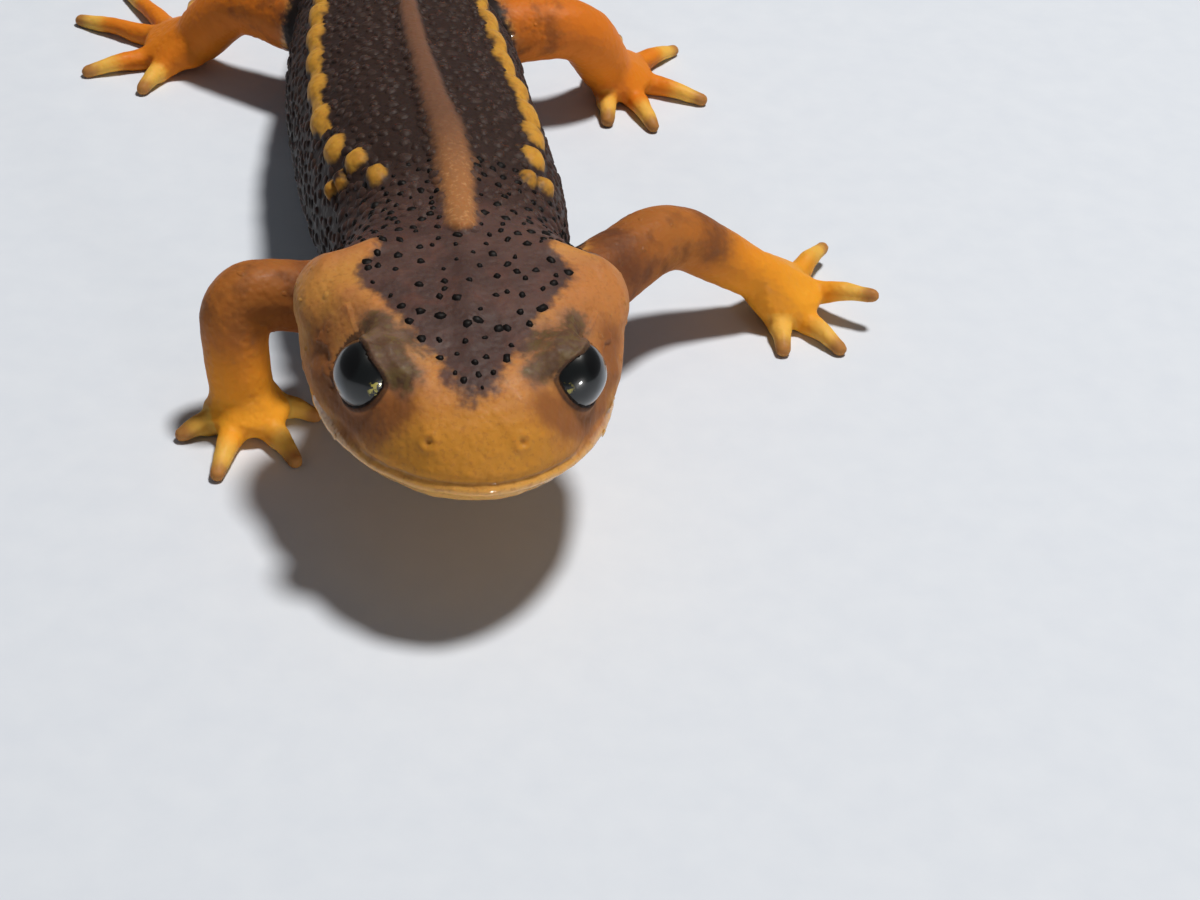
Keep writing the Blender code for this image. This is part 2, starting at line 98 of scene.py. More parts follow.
def eased(x, xs, ys):
    """The value at x of a smooth curve through the points (xs, ys)."""
    xs, ys = np.asarray(xs, float), np.asarray(ys, float)
    slopes = np.gradient(ys, xs)
    k = np.clip(np.searchsorted(xs, x) - 1, 0, len(xs) - 2)
    width = xs[k + 1] - xs[k]
    t = np.clip((x - xs[k]) / width, 0, 1)
    start = (1 + 2 * t) * (1 - t) ** 2 * ys[k] + t * (1 - t) ** 2 * width * slopes[k]
    return start + t * t * (3 - 2 * t) * ys[k + 1] + t * t * (t - 1) * width * slopes[k + 1]


def eased_line(knots, count):
    """This many points along a smooth curve through the knots."""
    steps = np.linspace(0, len(knots) - 1, count)
    return np.stack([eased(steps, np.arange(len(knots)), column) for column in knots.T], 1)


def run_lengths(line):
    """The length run along a line of points, at each of them."""
    return np.concatenate([[0], np.cumsum(np.linalg.norm(np.diff(line, axis=0), axis=1))])


def units(vectors):
    """Each vector brought to length 1."""
    return vectors / np.maximum(np.linalg.norm(vectors, axis=-1, keepdims=True), 1e-12)


# %% The spine
STEPS = 20  # from one knot of the spine to the next
SPINE_ROUTE = eased_line(SPINE, STEPS * (len(SPINE) - 1) + 1)
SPINE_LENGTHS = run_lengths(SPINE_ROUTE)


def spine_place(at):
    """The point on the floor under the spine."""
    x, y = (np.interp(at, SPINE_LENGTHS, SPINE_ROUTE[:, axis]) for axis in (0, 1))
    return np.stack([x, y, np.zeros_like(x)], -1)


def spine_along(at):
    """The level direction of the spine, toward the tail."""
    reach = 0.5
    return units(spine_place(at + reach) - spine_place(np.maximum(at - reach, 0)))


def to_left(along):
    """The level direction to the newt's left of a level direction."""
    return np.stack([along[..., 1], -along[..., 0], np.zeros_like(along[..., 0])], -1)


# %% Points of the bare body
def closing(at, length):
    """How far a rounded end has opened at this distance from it."""
    return np.sqrt(1 - (1 - np.clip(at, 0, length) / length) ** 2)


def section_at(at):
    """Half width, widest level, top, underside and the two boxiness values at distances along the spine."""
    half, widest, top, under, roof, keel = (eased(at, SECTIONS[:, 0], SECTIONS[:, k]) for k in range(1, 7))
    high = closing(at, SNOUT_ROUND) * closing(TAIL_END - at, TAIL_ROUND)
    wide = closing(at, JAW_AT) * closing(TAIL_END - at, TAIL_ROUND)
    return half * wide, widest, widest + (top - widest) * high, widest + (under - widest) * high, roof, keel


def body_surface(at, angle):
    """Points of the bare body. The angle goes round a section from the newt's left, over the top."""
    half, widest, top, under, roof, keel = section_at(at)
    cos, sin = np.cos(angle), np.sin(angle)
    power = 2 / np.where(sin >= 0, roof, keel)
    reach = np.where(sin >= 0, top - widest, widest - under)
    across = np.sign(cos) * np.abs(cos) ** power * half
    height = widest + np.sign(sin) * np.abs(sin) ** power * reach
    return spine_place(at) + to_left(spine_along(at)) * across[..., None] + UP * height[..., None]


print("spine length in mm:", round(float(SPINE_LENGTHS[-1]), 1))

# %% [markdown]
# ## Clay: the solids that are fused
# The flesh could be pulled from one box, but it is quicker to overlap simple closed shapes and to fuse them
# with a voxel remesh, as a sculptor adds clay. Every shape here is a stack of rings, so one function builds
# the faces of all of them.

# %% Rings to faces
clay_points, clay_faces = [], []


def add_clay(rings):
    """Adds a closed shape made of rings, each with the same number of points, with its two ends capped."""
    count, sides = rings.shape[:2]
    first = sum(len(p) for p in clay_points)
    index = first + np.arange(count * sides).reshape(count, sides)
    near, far = index[:-1], index[1:]
    quads = np.stack([near, np.roll(near, -1, 1), np.roll(far, -1, 1), far], -1).reshape(-1, 4)
    clay_points.append(rings.reshape(-1, 3))
    clay_faces.extend(quads.tolist())
    clay_faces.append(index[0][::-1].tolist())
    clay_faces.append(index[-1].tolist())


def add_ball(centre, size):
    """Adds an ellipsoid with these three radii."""
    polar = np.linspace(0.03, math.pi - 0.03, 24)[:, None]
    turn = np.linspace(0, 2 * math.pi, 40, endpoint=False)[None, :]
    ring = np.sin(polar)
    sphere = np.stack([ring * np.cos(turn), ring * np.sin(turn), np.cos(polar) + 0 * turn], -1)
    add_clay(np.asarray(centre) + sphere * np.asarray(size))


def add_tube(points, radii):
    """Adds a tapered tube with round ends along a route."""
    points, radii = np.asarray(points, float), np.asarray(radii, float)
    ahead = units(np.gradient(points, axis=0))
    # The far end is finished with a few ever smaller rings, which make a half ball.
    swing = np.radians((30, 55, 75, 88))
    points = np.concatenate([points, points[-1] + ahead[-1] * radii[-1] * np.sin(swing)[:, None]])
    radii = np.concatenate([radii, radii[-1] * np.cos(swing)])
    ahead = np.concatenate([ahead, np.repeat(ahead[-1:], len(swing), 0)])
    turn = np.linspace(0, 2 * math.pi, 28, endpoint=False)[:, None]
    side = np.cross(ahead[0], (0.3, 0.2, 1.0))
    rings = []
    for point, radius, way in zip(points, radii, ahead):
        side = side - way * side.dot(way)
        side /= np.linalg.norm(side)
        rings.append(point + radius * (np.cos(turn) * side + np.sin(turn) * np.cross(way, side)))
    add_clay(np.array(rings))


# %% The body
RING_STEP, RING_POINTS = 0.25, 144
turns = np.linspace(0, math.pi / 2, 16)[:-1]
stations = np.concatenate([
    0.02 + SNOUT_ROUND * (1 - np.cos(turns)),
    np.arange(SNOUT_ROUND + 0.1, TAIL_END - TAIL_ROUND, RING_STEP),
    TAIL_END - TAIL_ROUND * (1 - np.sin(turns)) - 0.02,
])
around = np.linspace(0, 2 * math.pi, RING_POINTS, endpoint=False)
add_clay(body_surface(*np.meshgrid(stations, around, indexing="ij")))
print("body rings:", len(stations))

# %% [markdown]
# ## Eyes and cheek glands
# The eyes bulge from the sides of the head and look up and out. Round each lies an orbit, a low swelling
# that carries the lids. Behind them the head ends in two corners, the poison glands. Both are balls here.

# %% Orbits and glands
SIDES = {"left": 1, "right": -1}
EYE_RADIUS = 1.3
EYE_AT, EYE_OUT, EYE_HEIGHT = 4.15, 3.43, 8.02
ORBIT_RADIUS, ORBIT_INSET = 1.75, 0.45
GLAND_AT, GLAND_OUT, GLAND_HEIGHT = 9.0, 4.5, 7.9
GLAND_SIZE = (1.6, 2.4, 1.4)


def head_place(at, out, height, side):
    """A point given by its distance along the spine, its distance out to one side and its height."""
    return spine_place(np.float64(at)) + to_left(spine_along(np.float64(at))) * side * out + UP * height


def unit(direction):
    """One direction brought to length 1."""
    return np.asarray(direction, float) / np.linalg.norm(direction)


eye_centres = {name: head_place(EYE_AT, EYE_OUT, EYE_HEIGHT, side) for name, side in SIDES.items()}
eye_faces = {name: unit((side * 0.75, -0.3, 0.6)) for name, side in SIDES.items()}
for name, side in SIDES.items():
    add_ball(eye_centres[name] - eye_faces[name] * ORBIT_INSET, (ORBIT_RADIUS,) * 3)
    add_ball(head_place(GLAND_AT, GLAND_OUT, GLAND_HEIGHT, side), GLAND_SIZE)
print("between the eyes in mm:", round(float(np.linalg.norm(eye_centres["left"] - eye_centres["right"])), 2))

# %% [markdown]
# ## Legs
# A newt's leg is a soft tube with two bends, a flat palm and thin toes: four on a hand and five on a foot.
# The joints are points in space, because each leg stands in its own way. Tapered tubes follow them.

# %% Sizes of the legs
# Joints from root to wrist, radii at these, the palm's middle and its radii, then the toes from the inner one
# outwards: root and tip seen from above, and how far the tip is held off the floor.
LIMBS = {
    "arm_right": (
        ((-3.8, 14.4, 4.3), (-8.85, 12.9, 5.8), (-8.4, 12.4, 1.7)), (1.55, 1.25, 1.25),
        (-8.2, 12.1, 0.8), (1.7, 1.5, 0.72),
        (
            (-7.1, 12.8, -5.3, 12.3, 0.0), (-7.3, 11.3, -6.2, 9.25, 0.0),
            (-8.7, 11.1, -9.3, 8.4, 0.0), (-9.4, 11.8, -10.9, 11.0, 0.0),
        ),
    ),
    "arm_left": (
        ((3.3, 13.6, 4.2), (8.8, 19.1, 4.8), (13.0, 19.9, 2.0)), (1.65, 1.35, 1.02),
        (14.2, 20.1, 0.95), (1.65, 1.7, 0.72),
        (
            (13.9, 18.8, 13.8, 16.7, 0.0), (15.0, 18.9, 16.4, 16.85, 0.0),
            (15.5, 20.4, 18.1, 19.0, 1.4), (15.05, 21.95, 16.8, 24.25, 0.6),
        ),
    ),
    "leg_right": (
        ((-3.9, 37.2, 4.0), (-9.2, 40.4, 4.1), (-11.0, 41.2, 1.7)), (1.9, 1.4, 1.3),
        (-12.0, 41.9, 0.85), (1.75, 2.2, 0.75),
        (
            (-12.8, 40.0, -13.8, 38.1, 0.0), (-13.5, 41.1, -16.6, 39.9, 0.0),
            (-13.4, 43.2, -17.3, 45.4, 0.0), (-12.6, 44.0, -15.0, 48.4, 0.0),
            (-11.5, 43.8, -11.6, 47.4, 0.0),
        ),
    ),
    "leg_left": (
        ((-1.2, 37.2, 4.0), (6.9, 37.3, 4.6), (8.4, 38.9, 1.7)), (1.9, 1.4, 1.3),
        (9.2, 39.7, 0.85), (1.65, 2.1, 0.75),
        (
            (8.5, 37.9, 8.35, 35.7, 0.0), (9.8, 38.0, 10.6, 35.25, 0.0),
            (10.6, 39.4, 13.45, 38.1, 0.0), (10.3, 41.3, 12.65, 43.5, 0.0),
            (9.3, 41.7, 9.7, 44.6, 0.0),
        ),
    ),
}
BEND_REACH = 1.7
TOE_RADII = (0.7, 0.56, 0.41, 0.3)
TOE_HEIGHT, TOE_ROUND = 0.24, 0.3
PALM_END = 0.6  # the leg's own radius where it ends inside the palm
FAN_RADIUS = 1.1
print("toes:", {name: len(limb[-1]) for name, limb in LIMBS.items()})


# %% Routes of the legs and toes
def limb_route(joints, palm):
    """The limb's middle line from its root to the palm, with its bend rounded off, and the bend's index."""
    root, joint, wrist = (np.array(p) for p in joints)
    start = joint + unit(root - joint) * BEND_REACH
    end = joint + unit(wrist - joint) * BEND_REACH
    turn = np.linspace(0, 1, 13)[:, None]
    bend = (1 - turn) ** 2 * start + 2 * turn * (1 - turn) * joint + turn**2 * end
    upper = np.linspace(root, start, 8)[:-1]
    lower = np.linspace(end, wrist, 8)[1:]
    return np.concatenate([upper, bend, lower, [palm]]), len(upper) + len(bend) // 2


def toe_route(wrist, palm, size, toe):
    """A toe's middle line, from between the wrist and the palm over its root down to its tip."""
    tip = np.array((toe[2], toe[3], TOE_HEIGHT + toe[4]))
    root = np.array((toe[0], toe[1], 0.5 * size[2] + 0.5 * TOE_HEIGHT + 0.3 * toe[4]))
    start = np.array(wrist) * 0.6 + np.array(palm) * 0.4
    knuckle = root + 0.45 * (tip - root) + UP * 0.12
    end = tip - TOE_ROUND * unit(tip - root)
    return eased_line(np.array([start, root, knuckle, end]), 19)


# %% Legs as clay
limb_lines, toe_lines = {}, {}
for name, (joints, radii, palm, size, toes) in LIMBS.items():
    route, elbow = limb_route(joints, palm)
    runs = run_lengths(route)
    thickness = np.interp(runs, runs[[0, elbow, -2, -1]], (*radii, PALM_END))
    add_tube(route, thickness)
    add_ball(palm, size)
    limb_lines[name] = route
    toe_lines[name] = [toe_route(joints[-1], palm, size, toe) for toe in toes]
    for line in toe_lines[name]:
        spots = np.linspace(0, 1, len(TOE_RADII))
        add_tube(line, np.interp(np.linspace(0, 1, len(line)), spots, TOE_RADII))
        # The bones of the palm spread from the wrist like a fan, and carry its skin down to each toe.
        wrist, root = np.array(joints[-1]), line[len(line) // 3]
        share = np.linspace(0, 1, 9)
        add_tube(wrist + (root - wrist) * share[:, None], FAN_RADIUS + (TOE_RADII[1] - FAN_RADIUS) * share)
print("clay shapes:", len(clay_points))

# %% [markdown]
# ## Fusing the clay
# A voxel remesh rebuilds everything as one closed skin of even squares. Its steps are then smoothed away.
# Plain smoothing would thin the toes, so each step in is followed by a step out. A second pass moves only the
# hollow places outward, which fills the sharp creases where shapes meet and makes the webs between the toes.

# %% One skin
VOXEL = 0.1
collection = bpy.data.collections.new("crocodile_newt")
bpy.context.scene.collection.children.link(collection)


def shown_mesh(holder):
    """A copy of the mesh an object shows, modifiers included. The object itself is removed."""
    bpy.context.view_layer.update()
    graph = bpy.context.evaluated_depsgraph_get()
    mesh = bpy.data.meshes.new_from_object(holder.evaluated_get(graph))
    bpy.data.objects.remove(holder)
    return mesh


def hold(name, mesh):
    """A new object that shows a mesh."""
    holder = bpy.data.objects.new(name, mesh)
    collection.objects.link(holder)
    return holder


clay = bpy.data.meshes.new("clay")
clay.from_pydata(np.concatenate(clay_points).tolist(), [], clay_faces)
lump = hold("clay", clay)
remesh = lump.modifiers.new("Fuse", "REMESH")
remesh.mode = "VOXEL"
remesh.voxel_size = VOXEL
fused = shown_mesh(lump)


def read(items, what, width=3, kind=float):
    """One property of every vertex, edge or corner of a mesh, as rows of numbers."""
    flat = np.empty(len(items) * width, kind)
    items.foreach_get(what, flat)
    return flat.reshape(-1, width)


points = read(fused.vertices, "co")
quads = read(fused.loops, "vertex_index", 1, int).reshape(-1, 4)
edges = read(fused.edges, "vertices", 2, int)
print("fused points:", len(points))


# %% Smoothing and filling creases
def summed(index, values, count):
    """The sum of the values that go to each point."""
    return np.stack([np.bincount(index, values[:, axis], count) for axis in range(3)], 1)


def pull(places, ends):
    """From each point to the mean of its neighbours, which are the other ends of its edges."""
    near, far = ends[:, 0], ends[:, 1]
    valence = np.bincount(ends.ravel(), minlength=len(places))[:, None]
    total = summed(near, places[far], len(places)) + summed(far, places[near], len(places))
    return total / np.maximum(valence, 1) - places


def facing(places):
    """The outward direction at each point."""
    a, b, c, d = (places[quads[:, k]] for k in range(4))
    across = np.cross(c - a, d - b)
    return units(sum(summed(quads[:, k], across, len(places)) for k in range(4)))


def smooth(places, rounds):
    """Evens out the points, one step in and one step out."""
    for _ in range(rounds):
        places += 0.5 * pull(places, edges)
        places -= 0.52 * pull(places, edges)


def fill_hollows(places, weight, rounds):
    """Moves hollow places outward, each by its own weight from 0 to 1."""
    chosen = weight > 0
    ends = (np.cumsum(chosen) - 1)[edges[chosen[edges].all(1)]]
    for step in range(rounds):
        if step % 8 == 0:
            outward = facing(places)[chosen]
        lift = (pull(places[chosen], ends) * outward).sum(1)
        places[chosen] += outward * (0.9 * weight[chosen] * np.maximum(lift, 0))[:, None]


# %% Smoothing the newt
def to_path(places, path):
    """Distance from each place to a path of straight runs."""
    path = np.asarray(path, float)
    best = np.full(len(places), np.inf)
    for start, end in zip(path, path[1:]):
        run = end - start
        t = np.clip((places - start) @ run / (run @ run), 0, 1)
        best = np.minimum(best, np.linalg.norm(places - start - t[:, None] * run, axis=1))
    return best


FILL_ROUNDS, WRIST_ROUNDS = 48, 180
WRIST_REACH = 3.0
smooth(points, 12)
fill_hollows(points, np.ones(len(points)), FILL_ROUNDS)
# A palm fans out of its leg without a step, so the hollows round the wrists are filled further.
for joints, _, palm, _, _ in LIMBS.values():
    off = to_path(points, (joints[-1], palm))
    fill_hollows(points, np.clip(WRIST_REACH - off, 0, 1), WRIST_ROUNDS)
smooth(points, 4)
print("smoothed box in mm:", points.min(0).round(1), points.max(0).round(1))

# %% [markdown]
# ## A map of the skin
# Forms and colours follow the body, not the room. So each point of the skin gets body coordinates: how far
# along the spine it is, how far out to the side, and its height. The rest of the lesson reads this map.


# %% Body coordinates
class SkinMap:
    """Where points lie on the body, in mm."""

    def __init__(self, places):
        knots = np.arange(0, TAIL_END + 1, 0.1)
        line = spine_place(knots)
        nearest = np.empty(len(places), int)
        for chunk in np.array_split(np.arange(len(places)), max(1, len(places) // 10000)):
            gap = places[chunk, None, :2] - line[None, :, :2]
            nearest[chunk] = (gap**2).sum(2).argmin(1)
        along = spine_along(knots[nearest])
        offset = places - line[nearest]
        self.places = places
        self.at = knots[nearest] + (offset * along).sum(1)
        self.across = (offset * to_left(along)).sum(1)
        self.height = places[:, 2]
        self.out = np.abs(self.across)
        self.head = np.stack([self.at, self.out, self.height], 1)
        half, widest, top, under, roof, keel = section_at(np.clip(self.at, 0.05, TAIL_END - 0.05))
        upper = self.height >= widest
        boxy = np.where(upper, roof, keel)
        reach = np.where(upper, top - widest, widest - under)
        side = np.abs(self.across / half) ** boxy
        rise = np.abs((self.height - widest) / reach) ** boxy
        self.upper = upper
        # The ratio is 1 on the bare body's surface and more outside it.
        ratio = (side + rise) ** (1 / boxy)
        self.outside = (ratio - 1) * np.minimum(half, reach + 1)


# %% Soft steps
def bump(distance, width):
    """1 at distance 0, fading out on both sides."""
    return np.exp(-((distance / width) ** 2))


def ramp(x, low, high):
    """From 0 to 1 while x goes from low to high."""
    t = np.clip((x - low) / (high - low), 0, 1)
    return t * t * (3 - 2 * t)


def between(x, start, end, soft):
    """1 between two values, fading to 0 over a soft edge at both."""
    return ramp(x, start - soft, start + soft) * (1 - ramp(x, end - soft, end + soft))


def wobble(places, size):
    """Random swellings about this far apart, mostly between -1 and 1."""
    random, waves = np.random.default_rng(5), 24
    total = np.zeros(len(places))
    for _ in range(waves):
        way = unit(random.normal(size=3)) * random.uniform(0.7, 1.4) / size
        total += np.sin(2 * math.pi * (places @ way) + random.uniform(0, 2 * math.pi))
    return total * math.sqrt(0.5 / waves)


skin_map = SkinMap(points)
print("farthest along the spine:", round(float(skin_map.at.max()), 1))

# %% [markdown]
# ## The back
# A blunt ridge runs down the middle. The knobs mark the ends of the ribs, where the skin holds most poison.
# They stand apart on the shoulders and grow together to a scalloped band behind. A repeating wave would be
# shorter to write, but the row would look stamped, so each knob that shows has its own place and size.

# %% Sizes of the ridge and the knobs
RIDGE_HEIGHT = 0.35
# Half width of the ridge at distances along the spine.
RIDGE = np.array((
    (10.2, 0.56), (12.5, 0.62), (15.0, 0.72), (18.0, 0.7), (21.0, 0.58), (25.0, 0.47), (43.0, 0.38),
))
RIDGE_START, RIDGE_END = 10.2, 43.0
KNOB_HEIGHT = 0.38
# Distance along the spine, degrees up from the widest level, half length and half width.
KNOBS = {
    "left": (
        (15.2, 44, 0.50, 0.45),
        (15.1, 55, 0.50, 0.36),
        (16.6, 52, 0.80, 0.56),
        (18.5, 48, 0.95, 0.58),
        (20.8, 46, 1.05, 0.56),
        (23.2, 47, 1.05, 0.55),
        (25.9, 50, 1.15, 0.52),
    ),
    "right": (
        (15.4, 55, 0.62, 0.40),
        (17.1, 27, 0.42, 0.36),
        (16.9, 35, 0.50, 0.28),
        (17.2, 48, 0.62, 0.50),
        (19.1, 40, 0.85, 0.58),
        (21.9, 37, 0.90, 0.62),
        (24.7, 40, 1.05, 0.60),
        (27.1, 43, 1.05, 0.55),
    ),
}
ROW_LINES = {
    "left": ((15, 50), (21, 46), (26, 50), (43, 56)),
    "right": ((15, 50), (19, 41), (22, 37), (27, 43), (43, 56)),
}
KNOB_PITCH, LATER_KNOB = 2.4, (1.1, 0.52)  # behind the table's knobs: step, half length and half width
ROW_END = 42.0
BAND_START = {"left": 19.0, "right": 20.5}
BAND_HALF_WIDTH, BAND_HEIGHT = 0.42, 0.14


# %% The rows of knobs
def row_angle(name, at):
    """Degrees up from the widest level of a row of knobs."""
    return eased(at, *np.array(ROW_LINES[name], float).T)


def row_spot(name, at, degrees):
    """A point of the body on one side, this many degrees up from its widest level."""
    angle = np.radians(degrees if name == "left" else 180 - degrees)
    return body_surface(np.asarray(at, float), angle)


all_knobs = {}
for name, knobs in KNOBS.items():
    later = np.arange(knobs[-1][0] + KNOB_PITCH, ROW_END, KNOB_PITCH)
    all_knobs[name] = [*knobs, *((at, float(row_angle(name, at)), *LATER_KNOB) for at in later)]
print("knobs:", {name: len(knobs) for name, knobs in all_knobs.items()})


# %% Forms of the ridge and the knobs
def ridge_form(skin):
    """Share of the ridge's height, 1 along its top."""
    width = np.interp(skin.at, RIDGE[:, 0], RIDGE[:, 1])
    front = np.clip((skin.at - RIDGE_START) / 0.6, 1e-3, 1)
    width = width * np.sqrt(1 - (1 - front) ** 2)
    ends = (skin.at > RIDGE_START) * (1 - ramp(skin.at, RIDGE_END - 4, RIDGE_END))
    return ends * np.exp(-(np.abs(skin.across / width) ** 3)) * skin.upper


def knob_form(skin):
    """Share of the knobs' height, and how far inside a knob or the band that joins them a point lies."""
    height, inside = np.zeros(len(skin.at)), np.full(len(skin.at), -2.0)
    for name, side in SIDES.items():
        chosen = (skin.at > 13) & (skin.at < ROW_END + 2) & (skin.across * side > 0) & (skin.outside < 1.5)
        at, places = skin.at[chosen], skin.places[chosen]
        row = row_spot(name, at, row_angle(name, at))
        off = np.linalg.norm(places - row, axis=1)
        run = between(at, BAND_START[name], ROW_END, 0.5)
        band = np.exp(-((off / BAND_HALF_WIDTH) ** 4)) * run
        height[chosen] = np.maximum(height[chosen], band * BAND_HEIGHT / KNOB_HEIGHT)
        inside[chosen] = np.maximum(inside[chosen], np.where(run > 0.5, BAND_HALF_WIDTH * 0.8 - off, -2))
        for middle, degrees, half_length, half_width in all_knobs[name]:
            offset = places - row_spot(name, middle, degrees)
            level = at - middle
            round_body = np.sqrt(np.maximum((offset**2).sum(1) - level**2, 0))
            far = np.sqrt((level / half_length) ** 2 + (round_body / half_width) ** 2)
            height[chosen] = np.maximum(height[chosen], np.exp(-(far**3)))
            inside[chosen] = np.maximum(inside[chosen], (1 - far) * half_width)
    return height, inside


knob_height, _ = knob_form(skin_map)
raised = RIDGE_HEIGHT * ridge_form(skin_map) + KNOB_HEIGHT * knob_height
print("points raised on the back:", int((raised > 0.1).sum()))

# %% [markdown]
# ## The head
# The skull shows through the skin: a raised edge runs from over each eye back to the gland, the crown
# between lies a little lower, and a faint keel runs down its middle. Softer ridges lead from the eyes to the
# nostrils. All of them are paths in head coordinates (along, out, height), so one path serves both
# sides.

# %% Ridges, crown and nostrils
# Path, height of the form, half width.
HEAD_RIDGES = (
    (((8.4, 5.3, 8.2), (9.2, 4.7, 9.1), (9.6, 3.3, 9.8)), 0.26, 0.5),
    (((5.6, 3.6, 9.35), (7.4, 4.3, 9.2), (9.2, 4.7, 9.1)), 0.14, 0.7),
    (((3.6, 2.3, 8.8), (2.3, 1.9, 8.4), (1.2, 1.5, 7.8)), 0.10, 0.6),
    (((6.4, 5.5, 6.9), (8.6, 5.6, 6.4)), 0.12, 1.0),
)
NOSTRIL = np.array((0.9, 1.6, 7.55))
NOSTRIL_RADIUS, NOSTRIL_DEPTH = 0.13, 0.10


def head_form(skin):
    """Height of the head's ridges, crown and nostrils."""
    lift = np.zeros(len(skin.at))
    for path, height, width in HEAD_RIDGES:
        lift += height * bump(to_path(skin.head, path), width)
    crown = between(skin.at, 3.5, 9.5, 1.2) * skin.upper
    lift += crown * (0.10 * bump(skin.across, 0.45) - 0.14 * bump(skin.across, 2.2))
    nose = np.linalg.norm(skin.head - NOSTRIL, axis=1)
    lift += 0.05 * bump(nose - 0.27, 0.12) - NOSTRIL_DEPTH * bump(nose, NOSTRIL_RADIUS)
    return lift


# %% [markdown]
# ## Mouth and folds
# The lips meet in a fine line that runs round the snout and ends behind the eye. The throat ends in a fold.
# Shallow grooves between the ribs mark the flanks, and the tail has a thin edge above and below.

# %% Mouth line and folds
MOUTH_LINE = np.array(((0, 6.4), (1.5, 6.15), (3.5, 5.95), (6.0, 5.8), (8.4, 5.5)))
MOUTH_CORNER = 8.2
MOUTH_DEPTH, MOUTH_HALF_WIDTH = 0.07, 0.10
THROAT_FOLD_AT = 11.9
RIB_PITCH = 1.9


def from_mouth(skin):
    """Height over the line between the lips."""
    return skin.height - eased(np.clip(skin.at, 0, 8.4), MOUTH_LINE[:, 0], MOUTH_LINE[:, 1])


def fold_form(skin):
    """Height of the lips, the throat's fold and the grooves between the ribs."""
    over = from_mouth(skin)
    shut = (1 - ramp(skin.at, MOUTH_CORNER - 0.7, MOUTH_CORNER + 0.1)) * (skin.at < 9)
    lips = 0.03 * bump(over - 0.3, 0.2) + 0.14 * bump(over + 0.27, 0.19)
    lift = shut * (lips - MOUTH_DEPTH * bump(over, MOUTH_HALF_WIDTH))
    on_body = 1 - ramp(skin.outside, 0.3, 1.0)
    low = 1 - ramp(skin.height, 4.6, 6.4)
    fold = 0.10 * bump(skin.at - THROAT_FOLD_AT + 0.45, 0.4) - 0.16 * bump(skin.at - THROAT_FOLD_AT, 0.22)
    lift += low * fold * on_body * (skin.at < 14)
    flank = between(skin.at, 17.5, 35.0, 1.0) * between(skin.height, 2.0, 6.6, 1.2) * on_body
    groove = np.cos((skin.at - 17.5) / RIB_PITCH * 2 * math.pi)
    return lift - 0.05 * flank * np.maximum(groove, 0) ** 4


raised += head_form(skin_map) + fold_form(skin_map)
# Living skin is never quite smooth: low random swellings of two sizes.
raised += 0.022 * wobble(points, 1.7) + 0.012 * wobble(points, 0.7)
points += facing(points) * raised[:, None]
print("highest form in mm:", round(float(raised.max()), 2))

# %% [markdown]
# ## Lids
# The cheek slopes away outside each eye, so that the ball stands out. A newt has real eyelids: soft skin that
# hugs the ball, and hangs over its top. The skin inside the opening is pushed in behind the eyeball, so the
# skin stays one closed shape. Points near the opening slide onto its edge, because an edge that runs between
# points would look torn.

# %% The eye openings
OPENING = math.radians(78)
LID_WAYS = {"left": (-0.12, 0.15, 1.0), "right": (0.55, 0.1, 1.0)}  # the sides from which the lids hang
LID_DROPS = {"left": math.radians(49), "right": math.radians(37)}
LID_RIM, LID_THICK = 1.36, 0.05
# Skin this far past the edge, in radians, and this far from the eye's centre leans down to the ball.
LID_REACH, LEAN_REACH, NEAR_EYE = 0.6, (1.9, 2.9), 3.0
# The plane that the cheek is sloped to: its facing, its distance from the eye and how far along the head.
SLOPE, SLOPE_AT, SLOPE_REACH = (0.78, 0.0, 0.62), 0.95, (1.4, 3.2)
SLOPE_NEAR = 4.5
SNAP = 0.05  # radians either side of the edge in which points slide onto it
BEHIND_EYE = 1.0


def eye_polar(places, name):
    """Offset from an eye's centre, its length, and the angle from the way the eye faces."""
    offset = places - eye_centres[name]
    length = np.linalg.norm(offset, axis=1)
    turn = np.arccos(np.clip(offset @ eye_faces[name] / np.maximum(length, 1e-9), -1, 1))
    return offset, length, turn


def sideways(offset, name):
    """The part of an offset that is square to the way the eye faces."""
    face = eye_faces[name]
    return offset - (offset @ face)[:, None] * face


def lid_side(offset, name):
    """From -1 to 1: how far an offset points to the side where the lid hangs."""
    face = eye_faces[name]
    inward = unit(np.cross(np.cross(face, LID_WAYS[name]), face))
    level = sideways(offset, name)
    return level @ inward / np.maximum(np.linalg.norm(level, axis=1), 1e-9)


def lid_edge(offset, name):
    """The opening's half angle: the upper lid covers more of the ball."""
    return OPENING - LID_DROPS[name] * ramp(lid_side(offset, name), 0.25, 1.0)


# %% Sloping the cheeks and closing the lids
for name, side in SIDES.items():
    slope = unit(np.array(SLOPE) * (side, 1, 1))
    offset = points - eye_centres[name]
    over = offset @ slope - SLOPE_AT
    beside = (np.linalg.norm(offset, axis=1) < SLOPE_NEAR) * (1 - ramp(np.abs(offset[:, 1]), *SLOPE_REACH))
    points -= slope * (0.5 * (over + np.sqrt(over**2 + 0.02)) * beside * (over > -0.5))[:, None]
    near = np.linalg.norm(points - eye_centres[name], axis=1) < NEAR_EYE
    offset, length, turn = eye_polar(points[near], name)
    past = turn - lid_edge(offset, name)
    slid = np.where(np.abs(past) < SNAP, turn - past, turn)[:, None]
    way = np.cos(slid) * eye_faces[name] + np.sin(slid) * units(sideways(offset, name))
    lean = 1 - (1 - ramp(past, 0, LID_REACH)) * (1 - ramp(length, *LEAN_REACH))
    hugged = LID_RIM + np.maximum(length - LID_RIM, 0) * lean + LID_THICK * bump(past - 0.12, 0.09)
    sunk = BEHIND_EYE + (LID_RIM - BEHIND_EYE) * ramp(past, -0.16, -SNAP * 0.9)
    points[near] = eye_centres[name] + way * np.where(past < -SNAP * 0.9, sunk, hugged)[:, None]
    print(name, "opening, points inside:", int((past < -SNAP).sum()))

